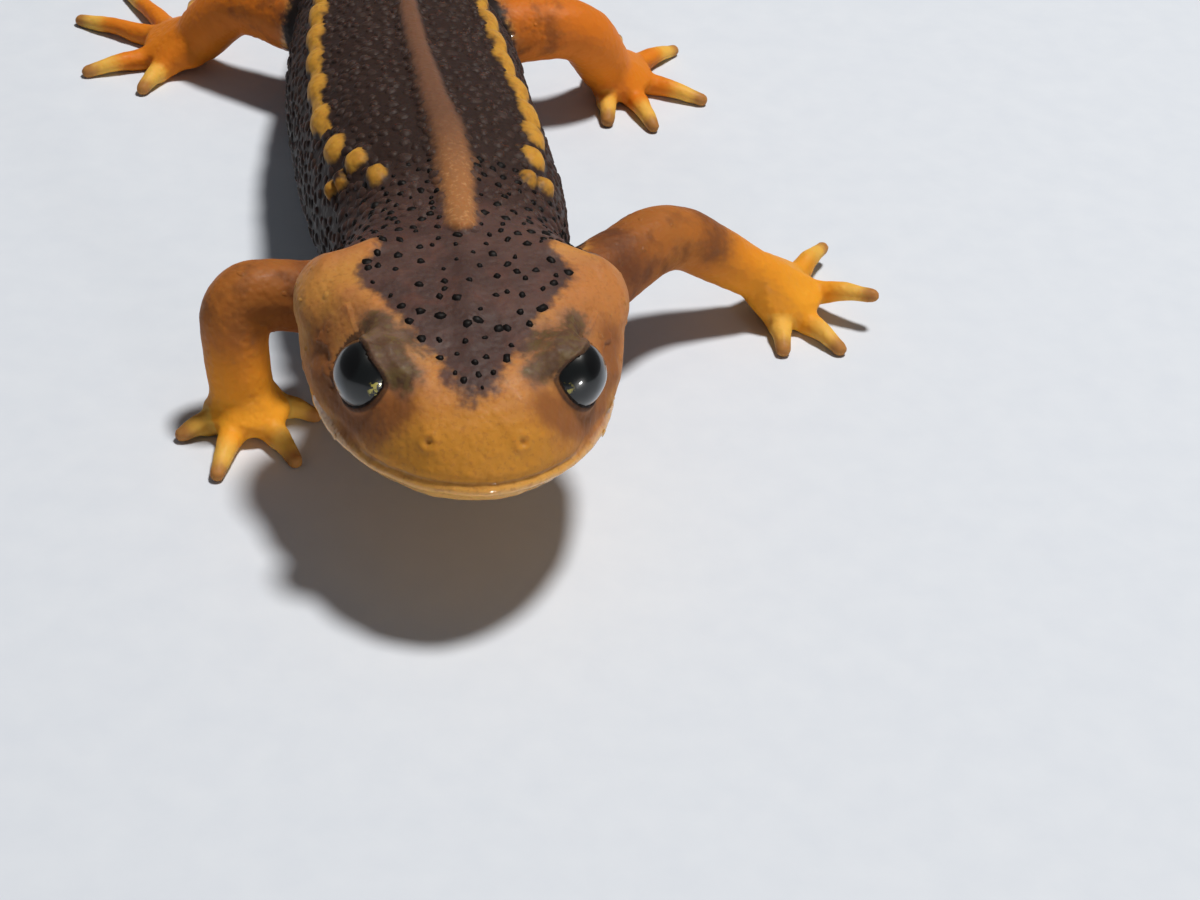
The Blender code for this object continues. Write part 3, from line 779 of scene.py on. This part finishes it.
# %% Settling on the floor
TRIANGLES, HEAD_END = 190000, 11.0
points[:, 2] = np.maximum(points[:, 2], 0)
fused.vertices.foreach_set("co", points.ravel())
holder = hold("skin", fused)
thin = holder.modifiers.new("Thin", "DECIMATE")
# The head keeps its fine squares, because thinned ones are long and would streak the lids.
group = holder.vertex_groups.new(name="thin")
group.add(np.flatnonzero(skin_map.at >= HEAD_END).tolist(), 1.0, "REPLACE")
thin.vertex_group = group.name
thin.ratio = TRIANGLES / (2 * len(quads))
thin.use_collapse_triangulate = True
skin_mesh = shown_mesh(holder)
print("skin triangles:", len(skin_mesh.polygons))

# %% [markdown]
# ## Zones of colour
# Each marking is stored on the skin as a distance in millimetres, positive inside it, or as a share from 0
# to 1. The material turns these smooth numbers into ragged edges, which a painted image could not keep sharp
# at every size.

# %% Zones of the head and the back
# Half width of the dark crown at distances from the snout.
CROWN = np.array((
    (1.4, -1.0), (1.85, 0.1), (2.3, 0.6), (2.9, 0.95), (3.6, 1.35), (4.4, 1.8), (5.1, 2.15), (5.8, 2.55),
    (6.6, 3.05), (7.2, 3.5), (8.0, 3.9), (8.7, 3.7), (9.3, 3.05), (9.9, 3.2),
))
skin = SkinMap(read(skin_mesh.vertices, "co"))
_, in_knob = knob_form(skin)

crown_half = np.interp(skin.at, CROWN[:, 0], CROWN[:, 1])
on_top = ramp(skin.height, 7.6, 8.2)
crown_half = crown_half - skin.out
crown_half *= 0.45 + 0.55 * ramp(skin.at, 2.5, 6.0)  # the tip fades out, the rear is sharp
crown = np.where(skin.at < 10.5, crown_half, 2.0) * on_top - 2.0 * (1 - on_top)
rear_edge = np.interp(skin.height, (3.5, 5.5, 8.0, 9.6), (11.8, 11.0, 10.6, 10.0))
dark = np.maximum(crown, skin.at - rear_edge)
dark = np.minimum(dark, 0.15 * (45.5 - skin.at))
dark = np.minimum(dark, 0.6 - 1.0 * skin.outside)
print("dark share of the skin:", round(float((dark > 0).mean()), 2))

# %% Zones round the eyes
# Painted shade, brown, under and behind each eye, where the head hollows round it; its path in head
# coordinates.
EYE_SHADE_PATH = ((6.4, 5.2, 7.9), (5.6, 5.2, 7.3), (4.2, 4.8, 6.8), (3.2, 4.2, 6.8), (2.3, 3.3, 7.4), (2.1, 2.6, 8.1))
cheek = bump(to_path(skin.head, EYE_SHADE_PATH), 0.85)
rim_shade, socket = np.zeros(len(skin.at)), np.zeros(len(skin.at))
# The dark of each lid runs on to the crown over its rear half.
lid = 0.66 * bump(skin.at - 4.6, 1.0) * between(crown_half, -2.2, 0.3, 0.5) * on_top
for name in SIDES:
    offset, length, turn = eye_polar(skin.places, name)
    past = turn - lid_edge(offset, name)
    way = lid_side(offset, name)
    patch = ramp(way, 0.0, 0.75) * (1 - ramp(past, 0.4, 1.4)) * (1 - ramp(length, 1.8, 2.9))
    # Painted shade, darkest just under each eye along the lower edge of its opening.
    below = (1 - ramp(length, 1.4, 2.4)) * bump(past - 0.1, 0.25) * ramp(way, 0.3, -0.5)
    cheek = np.maximum(cheek, 1.1 * below)
    lid = np.maximum(lid, patch)
    # Painted shade along the edge of each lid, in the crease where it meets the ball.
    rim_shade = np.maximum(rim_shade, (length < 1.8) * (1 - ramp(past, 0.04, 0.15)))
    # The skin pushed in behind each ball is painted near black: painted shade in the gap between ball and
    # lid.
    socket = np.maximum(socket, (length < 1.48) * (1 - ramp(past, -0.05, 0.02)))
print("points on the lids:", int((lid > 0.5).sum()))


# %% Zones of the legs
def nearest_on(places, line):
    """Distance to a line of points, the length run to the nearest of them, and the height over it."""
    runs = run_lengths(line)
    fine = np.linspace(0, runs[-1], 120)
    spots = np.stack([np.interp(fine, runs, line[:, axis]) for axis in range(3)], 1)
    gap = ((places[:, None] - spots[None]) ** 2).sum(2)
    k = gap.argmin(1)
    return np.sqrt(gap[np.arange(len(places)), k]), fine[k], places[:, 2] - spots[k, 2]


limb, toe_share, over_leg = (np.zeros(len(skin.at)) for _ in range(3))
to_tip = np.full(len(skin.at), 9.0)
free = np.flatnonzero(skin.outside > -0.2)
closest = np.full(len(free), 9.0)
for name, line in limb_lines.items():
    off, run, over = nearest_on(skin.places[free], line)
    better = off < closest
    closest = np.where(better, off, closest)
    limb[free] = np.where(better, run / run_lengths(line)[-1], limb[free])
    over_leg[free] = np.where(better, over, over_leg[free])
for lines in toe_lines.values():
    for line in lines:
        off, run, _ = nearest_on(skin.places[free], line)
        on_toe = off < 0.75
        left = run_lengths(line)[-1] - run
        to_tip[free] = np.where(on_toe, np.minimum(to_tip[free], left), to_tip[free])
        toe_share[free] = np.where(on_toe, np.maximum(toe_share[free], ramp(left, 2.1, 0.6)), toe_share[free])

# %% All zones on the skin
MID_BODY = 26
# A dark patch lies on top of each upper arm and thigh, and another on each forearm.
bruise = bump(limb - 0.28, 0.11) + bump(limb - 0.64, 0.1) * (skin.at < MID_BODY)
bruise += bump(limb - 0.14, 0.1) * (skin.at > MID_BODY) * (skin.across > 0)
bruise *= ramp(over_leg, -1.2, 0.7) * np.where(skin.across > 0, 0.9, 0.6)
zones = {
    "dark": dark,
    "ridge": ridge_form(skin),
    "knob": in_knob,
    "limb": limb,
    "bruise": 1.5 * bruise - 0.5,
    "outside": skin.outside,
    "to_tip": to_tip,
    "toe": toe_share,
    "lid": 1.5 * lid - 0.5,
    "rim_shade": rim_shade,
    "socket": socket,
    "cheek": cheek,
    # Painted shade in the crease between the lips.
    "mouth_shade": bump(from_mouth(skin), 0.1) * (skin.at < MOUTH_CORNER) * (1 - ramp(skin.at, 7.4, 8.2)),
    "over_mouth": from_mouth(skin),
    # Painted shade inside the nostril pits.
    "nostril_shade": bump(np.linalg.norm(skin.head - NOSTRIL, axis=1), 0.14),
    "at": skin.at,
    "height": skin.height,
    "horn": np.zeros(len(skin.at)),
    "wart": np.zeros(len(skin.at)),
}


def store(mesh, values):
    """Writes values to a mesh, one for each vertex."""
    for name, numbers in values.items():
        layer = mesh.attributes.new(name, "FLOAT", "POINT")
        layer.data.foreach_set("value", numbers.astype(np.float32))


store(skin_mesh, zones)
print("zones:", ", ".join(zones))

# %% [markdown]
# ## Warts and horn tips
# The dark skin is set with small round warts, and on the crown and the nape some carry a tip of black horn.
# Each is a low dome that takes its zones from the skin under it. All of them are one mesh. A bump pattern
# would be lighter, but its dots would be as even as print and would vanish where the body turns away.

# %% Scattering
WART_PITCH, WART_HEIGHT, HORN_HEIGHT = 0.45, 0.085, 0.085
CLEAR = 0.26  # from a horn tip to the nearest wart
random = np.random.default_rng(11)
normals = read(skin_mesh.vertices, "normal")


def scatter(chosen, pitch):
    """Picks points in random order, each with its own distance to all that were picked before."""
    tree = KDTree(len(chosen))
    for k, spot in enumerate(skin.places[chosen]):
        tree.insert(spot, k)
    tree.balance()
    free, kept = np.ones(len(chosen), bool), []
    for k in random.permutation(len(chosen)):
        if free[k]:
            kept.append(chosen[k])
            for _, other, _ in tree.find_range(skin.places[chosen[k]], pitch[k]):
                free[other] = False
    return np.array(kept)


# %% Places of the horn tips, warts and pimples
HORNS_END, WARTS_START, WARTS_END = 15.5, 11.2, 46
bare = (skin.outside < 0.12) & (in_knob < -0.12)
on_crown = bare & (dark > 0.12) & (skin.at < HORNS_END) & (skin.height > 7.2) & (ridge_form(skin) < 0.2)
chosen = np.flatnonzero(on_crown)
horns = scatter(chosen, np.where(skin.at[chosen] < 9.6, 0.56, 0.46) * random.uniform(0.5, 1.6, len(chosen)))
on_back = bare & (dark > 0.15) & (skin.height > 1.2) & (ridge_form(skin) < 0.3)
behind_head = skin.at + 0.35 * random.normal(size=len(dark)) > WARTS_START
chosen = np.flatnonzero(on_back & behind_head & (skin.at < WARTS_END))
rear_horns = skin.places[horns[skin.at[horns] > 10]]
to_horn = np.linalg.norm(skin.places[chosen][:, None] - rear_horns[None], axis=2).min(1)
chosen = chosen[to_horn >= CLEAR]
warts = scatter(chosen, WART_PITCH * random.uniform(0.85, 1.1, len(chosen)))
# Lower, paler pimples on the sides of the head and on the legs.
on_cheek = (skin.at > 3.5) & (skin.at < 11) & (skin.out > 4.7) & (skin.height > 5.6)
on_cheek &= (dark < -0.3) & (lid + rim_shade < 0.05)
on_leg = (skin.outside > 0.5) & (limb < 0.5) & (skin.height > 1.0) & (skin.at > HEAD_END)
chosen = np.flatnonzero(on_cheek | on_leg)
pimples = scatter(chosen, random.uniform(0.5, 1.6, len(chosen)))
print("horn tips:", len(horns), "warts:", len(warts), "pimples:", len(pimples))


# %% Domes
def domes(seeds, radius, height, sides=8):
    """Points and faces of a low dome on each seed point of the skin, and each point's seed."""
    up = normals[seeds]
    along = units(np.cross(up, random.normal(size=up.shape)))
    across = np.cross(up, along)
    turn = np.linspace(0, 2 * math.pi, sides, endpoint=False)
    rough = radius[:, None] * random.uniform(0.75, 1.25, (len(seeds), sides))
    along *= random.uniform(0.8, 1.35, (len(seeds), 1))
    level = np.cos(turn)[None, :, None] * along[:, None] + np.sin(turn)[None, :, None] * across[:, None]
    rings = []
    for share, lift in ((1.0, -0.35), (0.66, 0.72)):
        foot = skin.places[seeds][:, None] + share * rough[..., None] * level
        rings.append(foot + (lift * height)[:, None, None] * up[:, None])
    rings.append((skin.places[seeds] + height[:, None] * up)[:, None])
    spots = np.concatenate(rings, 1)
    ring = np.arange(sides)
    after = np.roll(ring, -1)
    quads = np.stack([ring, after, sides + after, sides + ring], 1)
    fan = np.stack([sides + ring, sides + after, np.full(sides, 2 * sides)], 1)
    first = (np.arange(len(seeds)) * (2 * sides + 1))[:, None, None]
    faces = [*(first + quads).reshape(-1, 4).tolist(), *(first + fan).reshape(-1, 3).tolist()]
    return spots.reshape(-1, 3), faces, np.repeat(seeds, 2 * sides + 1)


# %% Warts, horn tips and pimples as one mesh
small_in_front = np.where(skin.at[horns] < 3.4, 0.75, 1.0)
rising = 0.45 + 0.55 * ramp(skin.at[warts], 10.5, 14.0)
# Seeds, least and largest radius and their scale, least and largest height and their scale.
DOMES = (
    (horns, (0.09, 0.21), small_in_front, (0.7, 1.2), HORN_HEIGHT),
    (warts, (0.2, 0.29), 1.0, (0.7, 1.25), WART_HEIGHT * rising),
    (pimples, (0.1, 0.17), 1.0, (0.015, 0.035), 1.0),
)
dome_points, dome_faces, seeds, is_horn = np.empty((0, 3)), [], np.empty(0, int), []
for roots, radii, wide, heights, high in DOMES:
    radius = random.uniform(*radii, len(roots)) * wide
    height = random.uniform(*heights, len(roots)) * high
    new_points, new_faces, new_seeds = domes(roots, radius, height)
    dome_faces += [[k + len(dome_points) for k in face] for face in new_faces]
    dome_points = np.concatenate([dome_points, new_points])
    seeds = np.concatenate([seeds, new_seeds])
    is_horn += [roots is horns] * len(new_seeds)
wart_mesh = bpy.data.meshes.new("newt_warts")
wart_mesh.from_pydata(dome_points.tolist(), [], dome_faces)
tone = random.uniform(0.15, 1.0, len(skin.at))
wart_zones = {name: values[seeds] for name, values in zones.items()}
wart_zones["horn"] = np.array(is_horn, float)
wart_zones["wart"] = tone[seeds] * (1 - wart_zones["horn"])
store(wart_mesh, wart_zones)
print("triangles of warts:", sum(len(face) - 2 for face in dome_faces))

# %% [markdown]
# ## Into the frame
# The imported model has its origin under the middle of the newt. The left eye is a ball in both, so the step
# from one frame to the other is the step between its two centres.

# %% From millimetres to the frame
low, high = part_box("eye_left")
shift = Vector((low + high) / 2) - Vector(eye_centres["left"]) * METRES
into_frame = Matrix.Translation(shift) @ Matrix.Scale(METRES, 4)
flesh = {}
for name, mesh in (("newt_skin", skin_mesh), ("newt_warts", wart_mesh)):
    mesh.transform(into_frame)
    mesh.shade_smooth()
    flesh[name] = hold(name, mesh)
print("step to the frame in mm:", [round(v / METRES, 3) for v in shift])

# %% [markdown]
# ## Colours and nodes
# Colours are picked as sRGB hex values, as on any screen, but the renderer counts in linear light. One
# function turns them. Another adds a node with its settings and links, so that a material reads like a
# recipe. A third lays colours over each other like coats of paint, each through its masks.


# %% Colour and node helpers
def linear(hex_colour):
    """A linear colour with alpha from an sRGB hex value such as #a05a2c."""
    channels = [int(hex_colour[k : k + 2], 16) / 255 for k in (1, 3, 5)]
    return (*(c / 12.92 if c <= 0.04045 else ((c + 0.055) / 1.055) ** 2.4 for c in channels), 1.0)


def new_material(name):
    """An empty material and its node tree."""
    material = bpy.data.materials.new(name)
    material.use_nodes = True
    material.node_tree.nodes.clear()
    return material.node_tree, material


def add(tree, kind, settings, inputs, output=0):
    """Adds a node, sets its properties, sets or links its inputs, and returns one of its outputs."""
    made = tree.nodes.new(kind)
    for name, value in settings.items():
        setattr(made, name, value)
    for socket, value in inputs.items():
        if isinstance(value, bpy.types.NodeSocket):
            tree.links.new(value, made.inputs[socket])
        else:
            made.inputs[socket].default_value = value
    return made.outputs[output] if made.outputs else made


def painted(tree, base, coats, masks):
    """Coats over a base colour. Each has a colour, a strength and the names of the masks it goes through."""
    colour = linear(base)
    for top, strength, *names in coats:
        share = masks[names[0]]
        for factor in [masks[name] for name in names[1:]] + [strength] * (strength < 1):
            share = add(tree, "ShaderNodeMath", {"operation": "MULTIPLY"}, {0: share, 1: factor})
        top = linear(top) if isinstance(top, str) else top
        colour = add(tree, "ShaderNodeMix", RGBA, {FACTOR: share, A: colour, B: top}, MIXED)
    return colour


FACTOR, A, B, MIXED = 0, 6, 7, 2  # sockets of a colour Mix node
RGBA = {"data_type": "RGBA"}
SOFT = {"interpolation_type": "SMOOTHSTEP"}
print("linear value of middle grey:", round(linear("#808080")[0], 3))

# %% [markdown]
# ## Moist newt skin
# A newt's skin is thin, wet and without scales. Light enters it and spreads, which warms the toes, and the
# film of slime gives small sharp highlights, so the shader has subsurface scattering and a clear coat. The
# pigment lies in clouds of many sizes, which four noises give.

# %% Skin patterns
PATTERNS = {  # mm across, detail
    "cloud": (3.2, 3),
    "blotch": (1.1, 4),
    "speck": (0.35, 3),
    "freckle": (0.16, 2),
}
LEATHER = 0.26  # mm, from one fine pimple of the smooth skin to the next

tree, newt_skin = new_material("moist newt skin")
place = add(tree, "ShaderNodeTexCoord", {}, {}, "Object")
place = add(tree, "ShaderNodeVectorMath", {"operation": "SCALE"}, {0: place, "Scale": 1 / METRES})
noises = {
    name: add(tree, "ShaderNodeTexNoise", {}, {"Vector": place, "Scale": 1 / size, "Detail": detail})
    for name, (size, detail) in PATTERNS.items()
}
leather = add(tree, "ShaderNodeTexVoronoi", {"feature": "SMOOTH_F1"}, {
    "Vector": place, "Scale": 1 / LEATHER, "Smoothness": 0.6})
print("noises:", ", ".join(noises))

# %% Skin zones
# Stored zone, where its marking starts and where it is full, and how far speckled noise moves that edge.
# The three at the end are the rest of the skin, outside their zones.
EDGES = {
    "dark": ("dark", -0.25, 0.25, 0.7),
    "ridge": ("ridge", 0.1, 0.9, 0.6),
    "knob": ("knob", -0.10, 0.08, 0.2),
    "leg": ("outside", 0.3, 1.2, 0.8),
    "bruise": ("bruise", -0.2, 1.1, 0.8),
    "elbow": ("limb", 0.66, 0.5, 0.1),
    "tip": ("to_tip", 0.7, 0.0, 0.3),
    "toe": ("toe", 0.0, 1.0, 0.2),
    "round_lid": ("lid", -0.48, 0.2, 0.5),
    "lid": ("lid", -0.1, 0.55, 1.1),
    "rim_shade": ("rim_shade", 0.2, 0.9, 0.2),
    "socket": ("socket", 0.2, 0.6, 0.0),
    "cheek": ("cheek", 0.1, 0.9, 0.4),
    "mouth_shade": ("mouth_shade", 0.3, 1.2, 0.2),
    "lip": ("over_mouth", 0.1, -0.3, 0.2),
    "wet": ("over_mouth", 0.1, -0.05, 0.1),
    "nostril_shade": ("nostril_shade", 0.4, 0.9, 0.0),
    "snout": ("at", 3.0, 0.6, 1.0),
    "tail": ("at", 41.0, 46.0, 2.0),
    "nape": ("at", 10.5, 17.0, 2.0),
    "front_ridge": ("at", 19.0, 12.0, 1.5),
    "hind": ("at", 26.0, 34.0, 0.0),
    "keel": ("height", 1.8, 0.6, 0.6),
    "flank": ("height", 7.6, 5.0, 0.5),
    "horn": ("horn", 0.2, 0.8, 0.0),
    "wart": ("wart", 0.0, 1.0, 0.0),
    "off_toe": ("toe", 1.0, 0.0, 0.2),
    "off_leg": ("outside", 1.2, 0.3, 0.8),
    "off_dark": ("dark", 0.25, -0.25, 0.7),
}
NOISE_EDGES = {"cloud": (0.4, 0.65), "blotch": (0.46, 0.7), "speck": (0.45, 0.68), "freckle": (0.52, 0.7)}
rough = add(tree, "ShaderNodeMath", {"operation": "MULTIPLY_ADD"}, {
    0: noises["blotch"], 1: 0.8, 2: noises["speck"]})
rough = add(tree, "ShaderNodeMath", {"operation": "SUBTRACT"}, {0: rough, 1: 0.9})
masks = {}
for name, (zone, start, full, wander) in EDGES.items():
    field = add(tree, "ShaderNodeAttribute", {"attribute_name": zone}, {}, "Fac")
    moved = add(tree, "ShaderNodeMath", {"operation": "MULTIPLY_ADD"}, {0: rough, 1: wander, 2: field})
    masks[name] = add(tree, "ShaderNodeMapRange", SOFT, {"Value": moved, "From Min": start, "From Max": full})
for name, (start, full) in NOISE_EDGES.items():
    masks[name] = add(tree, "ShaderNodeMapRange", SOFT, {
        "Value": noises[name], "From Min": start, "From Max": full})
print("masks:", len(masks))

# %% [markdown]
# The coats go from the orange of the head to the black horn tips. The order matters: the ridge and the knobs
# lie over the dark back, and the horn tips over all.

# %% Coats of colour
# Along a leg, from its root to its toes.
LEG_COLOURS = (
    (0.0, "#8f5429"), (0.3, "#93582a"), (0.5, "#a0622c"),
    (0.64, "#b26a28"), (0.8, "#d68622"), (1.0, "#df9628"),
)
legs = tree.nodes.new("ShaderNodeValToRGB")
for _ in LEG_COLOURS[2:]:
    legs.color_ramp.elements.new(0.5)
for stop, (position, colour) in zip(legs.color_ramp.elements, LEG_COLOURS):
    stop.position = position
    stop.color = linear(colour)
tree.links.new(add(tree, "ShaderNodeAttribute", {"attribute_name": "limb"}, {}, "Fac"), legs.inputs["Fac"])

coats = (
    ("#bd8442", 1, "cloud"),
    ("#a86f42", 0.7, "blotch"),
    ("#bd8130", 1, "snout"),
    # painted shade round the eyes
    ("#7d4c2b", 0.85, "cheek"),
    ("#d8a254", 0.9, "lip"),
    ("#8f5a33", 0.3, "freckle"),
    ("#a9692f", 1, "tail"),
    ("#6b4427", 0.7, "tail", "blotch"),
    ("#c27c30", 1, "tail", "keel"),
    (legs.outputs["Color"], 1, "leg"),
    ("#cd6f1a", 0.8, "leg", "hind", "off_toe"),
    ("#5f3a27", 0.8, "leg", "bruise"),
    ("#5a3320", 0.6, "leg", "blotch", "elbow"),
    ("#dcab4c", 1, "toe"),
    ("#94603a", 0.8, "tip"),
    ("#85604c", 0.6, "round_lid", "off_dark"),
    ("#503c2e", 0.93, "lid"),
    ("#775f50", 0.7, "lid", "blotch"),
    ("#6b5a34", 0.5, "lid", "speck"),
    # painted shade in the crease between lid and ball
    ("#3d2a20", 0.8, "rim_shade"),
    ("#46332f", 1, "dark"),
    ("#583b34", 0.8, "dark", "blotch"),
    ("#5f4842", 0.5, "dark", "cloud"),
    ("#2f221e", 1, "dark", "nape"),
    ("#141010", 0.8, "dark", "flank", "nape"),
    ("#4a3a35", 0.35, "dark", "wart"),
    ("#6e4d3a", 0.95, "ridge"),
    ("#a06c40", 0.85, "ridge", "front_ridge"),
    ("#c9996a", 0.4, "ridge", "front_ridge", "freckle"),
    ("#be8b35", 1, "knob"),
    ("#9c6a2a", 0.5, "knob", "speck"),
    # painted shade in the crease between the lips
    ("#7a4a22", 0.4, "mouth_shade"),
    # painted shade inside the nostrils
    ("#7a4a24", 0.5, "nostril_shade"),
    # painted shade in the gap behind the eyeball
    ("#1c130f", 1, "socket"),
    ("#0e0a09", 1, "horn"),
)
colour = painted(tree, "#b27440", coats, masks)
print("coats of colour:", len(coats))

# %% Relief and gloss of the skin
# Heights in mm of the pimples and of the softer swellings.
PIMPLE_HEIGHT, SPECK_HEIGHT = 0.016, 0.024
relief = add(tree, "ShaderNodeMapRange", SOFT, {
    "Value": leather, "From Min": 0.7, "From Max": 0.1, "To Max": PIMPLE_HEIGHT})
relief = add(tree, "ShaderNodeMath", {"operation": "MULTIPLY_ADD"}, {
    0: noises["speck"], 1: SPECK_HEIGHT, 2: relief})
bumps = add(tree, "ShaderNodeBump", {}, {"Height": relief, "Strength": 1.0, "Distance": METRES}, "Normal")
roughness = add(tree, "ShaderNodeMapRange", {}, {
    "Value": noises["blotch"], "From Min": 0.3, "From Max": 0.7, "To Min": 0.48, "To Max": 0.62})
# The lips are wet, the rest of the skin is only just moist, and the dark granular skin is nearly matt.
LIPS_WET, ALL_WET = 0.95, 0.006
wet = add(tree, "ShaderNodeMath", {"operation": "MULTIPLY"}, {0: masks["wet"], 1: masks["off_leg"]})
wet = add(tree, "ShaderNodeMath", {"operation": "MULTIPLY_ADD"}, {0: wet, 1: LIPS_WET, 2: ALL_WET})
wet = add(tree, "ShaderNodeMath", {"operation": "MULTIPLY"}, {0: wet, 1: masks["off_dark"]})
shader = add(
    tree, "ShaderNodeBsdfPrincipled", {},
    {
        "Base Color": colour,
        "Roughness": roughness,
        "Normal": bumps,
        "Specular IOR Level": 0.2,
        "Coat Weight": wet,
        "Coat Roughness": 0.1,
        "IOR": 1.4,
        "Subsurface Weight": 0.25,
        "Subsurface Radius": (1.0, 0.35, 0.12),
        "Subsurface Scale": 0.7 * METRES,
    },
    "BSDF",
)
add(tree, "ShaderNodeOutputMaterial", {}, {"Surface": shader})
for piece in flesh.values():
    piece.data.materials.append(newt_skin)
print("nodes in", newt_skin.name + ":", len(tree.nodes))

# %% [markdown]
# ## Eyes
# The eyeball is nearly all pupil and dark iris, under a clear, wet cornea. A few gold flecks lie in the iris,
# low and toward the snout.

# %% Eye material
tree, newt_eye = new_material("wet cornea over a dark iris")
PUPIL, FLECK = 0.62, 0.13  # mm
local = add(tree, "ShaderNodeTexCoord", {}, {}, "Object")
local = add(tree, "ShaderNodeVectorMath", {"operation": "SCALE"}, {0: local, "Scale": 1 / METRES})
flecks = add(tree, "ShaderNodeTexNoise", {}, {"Vector": local, "Scale": 1 / FLECK, "Detail": 2})
# Where each ring starts and where it is full, in what is stored on the ball under its name.
RINGS = {"off_axis": (PUPIL - 0.03, PUPIL + 0.12), "ring_and_sheen": (0.8, 0.98), "gold": (0.955, 0.985)}
rings = {"fleck": add(tree, "ShaderNodeMapRange", SOFT, {"Value": flecks, "From Min": 0.5, "From Max": 0.6})}
for zone, (start, full) in RINGS.items():
    field = add(tree, "ShaderNodeAttribute", {"attribute_name": zone}, {}, "Fac")
    rings[zone] = add(tree, "ShaderNodeMapRange", SOFT, {"Value": field, "From Min": start, "From Max": full})
eye_coats = (
    ("#0f1213", 1, "off_axis"),
    ("#b5a950", 1, "gold", "fleck"),
    # grey ring of the iris with a painted reflection of the floor
    ("#5d666e", 0.55, "ring_and_sheen"),
)
shader = add(
    tree, "ShaderNodeBsdfPrincipled", {},
    {
        "Base Color": painted(tree, "#040405", eye_coats, rings),
        "Roughness": 0.3,
        "IOR": 1.376,
        "Coat Weight": 1.0,
        "Coat Roughness": 0.02,
        "Coat IOR": 1.38,
    },
    "BSDF",
)
add(tree, "ShaderNodeOutputMaterial", {}, {"Surface": shader})
print("nodes in", newt_eye.name + ":", len(tree.nodes))

# %% Eyeballs
CORNEA = 0.03  # how far the cornea stands out, as a share of the radius
# The pale side of each eye is partly a grey ring of the iris and partly a painted reflection of the floor
# beside the head.
GOLD, RING_AND_SHEEN_WAY = (-0.14, -0.97, 0.21), (0.96, -0.27, -0.10)  # from a left eye to its flecks and to its pale side
FEWER = {"left": 0.018, "right": 0}  # the left eye has fewer flecks
eye_pieces = {}
for name, side in SIDES.items():
    bpy.ops.mesh.primitive_ico_sphere_add(subdivisions=6, radius=1)
    piece = bpy.context.object
    bpy.context.scene.collection.objects.unlink(piece)
    collection.objects.link(piece)
    piece.name = piece.data.name = f"newt_eye_{name}"
    ball = read(piece.data.vertices, "co")
    polar = np.arccos(np.clip(ball @ eye_faces[name], -1, 1))
    store(piece.data, {
        "off_axis": EYE_RADIUS * np.where(polar < math.pi / 2, np.sin(polar), 1),
        "gold": ball @ unit(np.array(GOLD) * (side, 1, 1)) - FEWER[name],
        "ring_and_sheen": ball @ unit(np.array(RING_AND_SHEEN_WAY) * (side, 1, 1)),
    })
    ball *= (EYE_RADIUS * METRES * (1 + CORNEA * (1 - ramp(polar, 0.5, 1.0))))[:, None]
    piece.data.vertices.foreach_set("co", ball.ravel())
    piece.data.shade_smooth()
    piece.matrix_world = Matrix.Translation(into_frame @ Vector(eye_centres[name]))
    piece.data.materials.append(newt_eye)
    eye_pieces[name] = piece
    print(name, "eye at in mm:", [round(v / METRES, 2) for v in piece.location])

# %% [markdown]
# ## Riding and replacing
# The newt is one still body. The skin stands for every solid of flesh, and each eye for its own solid.

# %% Riding on the frame
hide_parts(*(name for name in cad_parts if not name.startswith("eye_")))
for name, slot in (("newt_skin", "skin_head"), ("newt_warts", "skin_back")):
    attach(flesh[name], "root")
for name, piece in eye_pieces.items():
    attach(piece, "root")
    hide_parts(f"eye_{name}")
print("pieces:", ", ".join(piece.name for piece in (*flesh.values(), *eye_pieces.values())))

# %% [markdown]
# ## Floor, light and camera
# A pale matt floor, and one soft lamp overhead for the shadow under the head. The surround is dim, so that
# the shadow keeps its depth. A small lamp in front puts a point of light in each eye.

# %% Floor and lights
tree, floor_finish = new_material("matt pale board")
grain = add(tree, "ShaderNodeTexCoord", {}, {}, "Object")
GRAIN = 1.5 * METRES
grain = add(tree, "ShaderNodeTexNoise", {}, {"Vector": grain, "Scale": 1 / GRAIN, "Detail": 3})
tone = painted(tree, "#cdd5e1", [("#d6dde7", 1, "grain")], {"grain": grain})
shader = add(tree, "ShaderNodeBsdfPrincipled", {}, {"Base Color": tone, "Roughness": 0.7}, "BSDF")
add(tree, "ShaderNodeOutputMaterial", {}, {"Surface": shader})
FLOOR_SIZE = 1.6
bpy.ops.mesh.primitive_plane_add(size=FLOOR_SIZE)
floor = bpy.context.object
floor.name = "floor"
floor.data.materials.append(floor_finish)

# %% Lamps and surround
LAMPS = {  # place in metres, size, power, colour
    "overhead": ((0.095, 0.025, 0.41), 0.07, 1.88, "#fffaf3"),
    "catch_light": ((0.165, -0.40, 0.03), 0.05, 0.45, "#fbf9f6"),
}
for name, (spot, size, power, tint) in LAMPS.items():
    lamp = bpy.data.lights.new(name, "AREA")
    lamp.shape = "DISK"
    lamp.size = size
    lamp.energy = power
    lamp.color = linear(tint)[:3]
    holder = bpy.data.objects.new(name, lamp)
    bpy.context.scene.collection.objects.link(holder)
    holder.location = spot
    holder.rotation_euler = (-Vector(spot)).to_track_quat("-Z", "Y").to_euler()
world = bpy.data.worlds.new("dim pale room")
world.use_nodes = True
surround = world.node_tree.nodes["Background"]
surround.inputs["Color"].default_value = linear("#e6ebf2")
surround.inputs["Strength"].default_value = 0.11
bpy.context.scene.world = world
print("lamps:", ", ".join(LAMPS))

# %% Camera
LENS, SENSOR = 69.94, 36.0
CAMERA_AT = (-6.03, -102.62, 55.16)
eye_level = bpy.data.cameras.new("camera")
eye_level.lens = LENS
eye_level.sensor_width = SENSOR
eye_level.clip_start = METRES
camera = bpy.data.objects.new("camera", eye_level)
bpy.context.scene.collection.objects.link(camera)
right = Vector((0.99254, -0.09785, 0.07276))
upward = Vector((0.00184, 0.60866, 0.79343))
turned = Matrix((right, upward, right.cross(upward))).transposed().to_4x4()
camera.matrix_world = Matrix.Translation(Vector(CAMERA_AT) * METRES) @ turned
bpy.context.scene.camera = camera
bpy.context.scene.view_settings.view_transform = "Standard"
print("camera over the floor in mm:", CAMERA_AT[2])
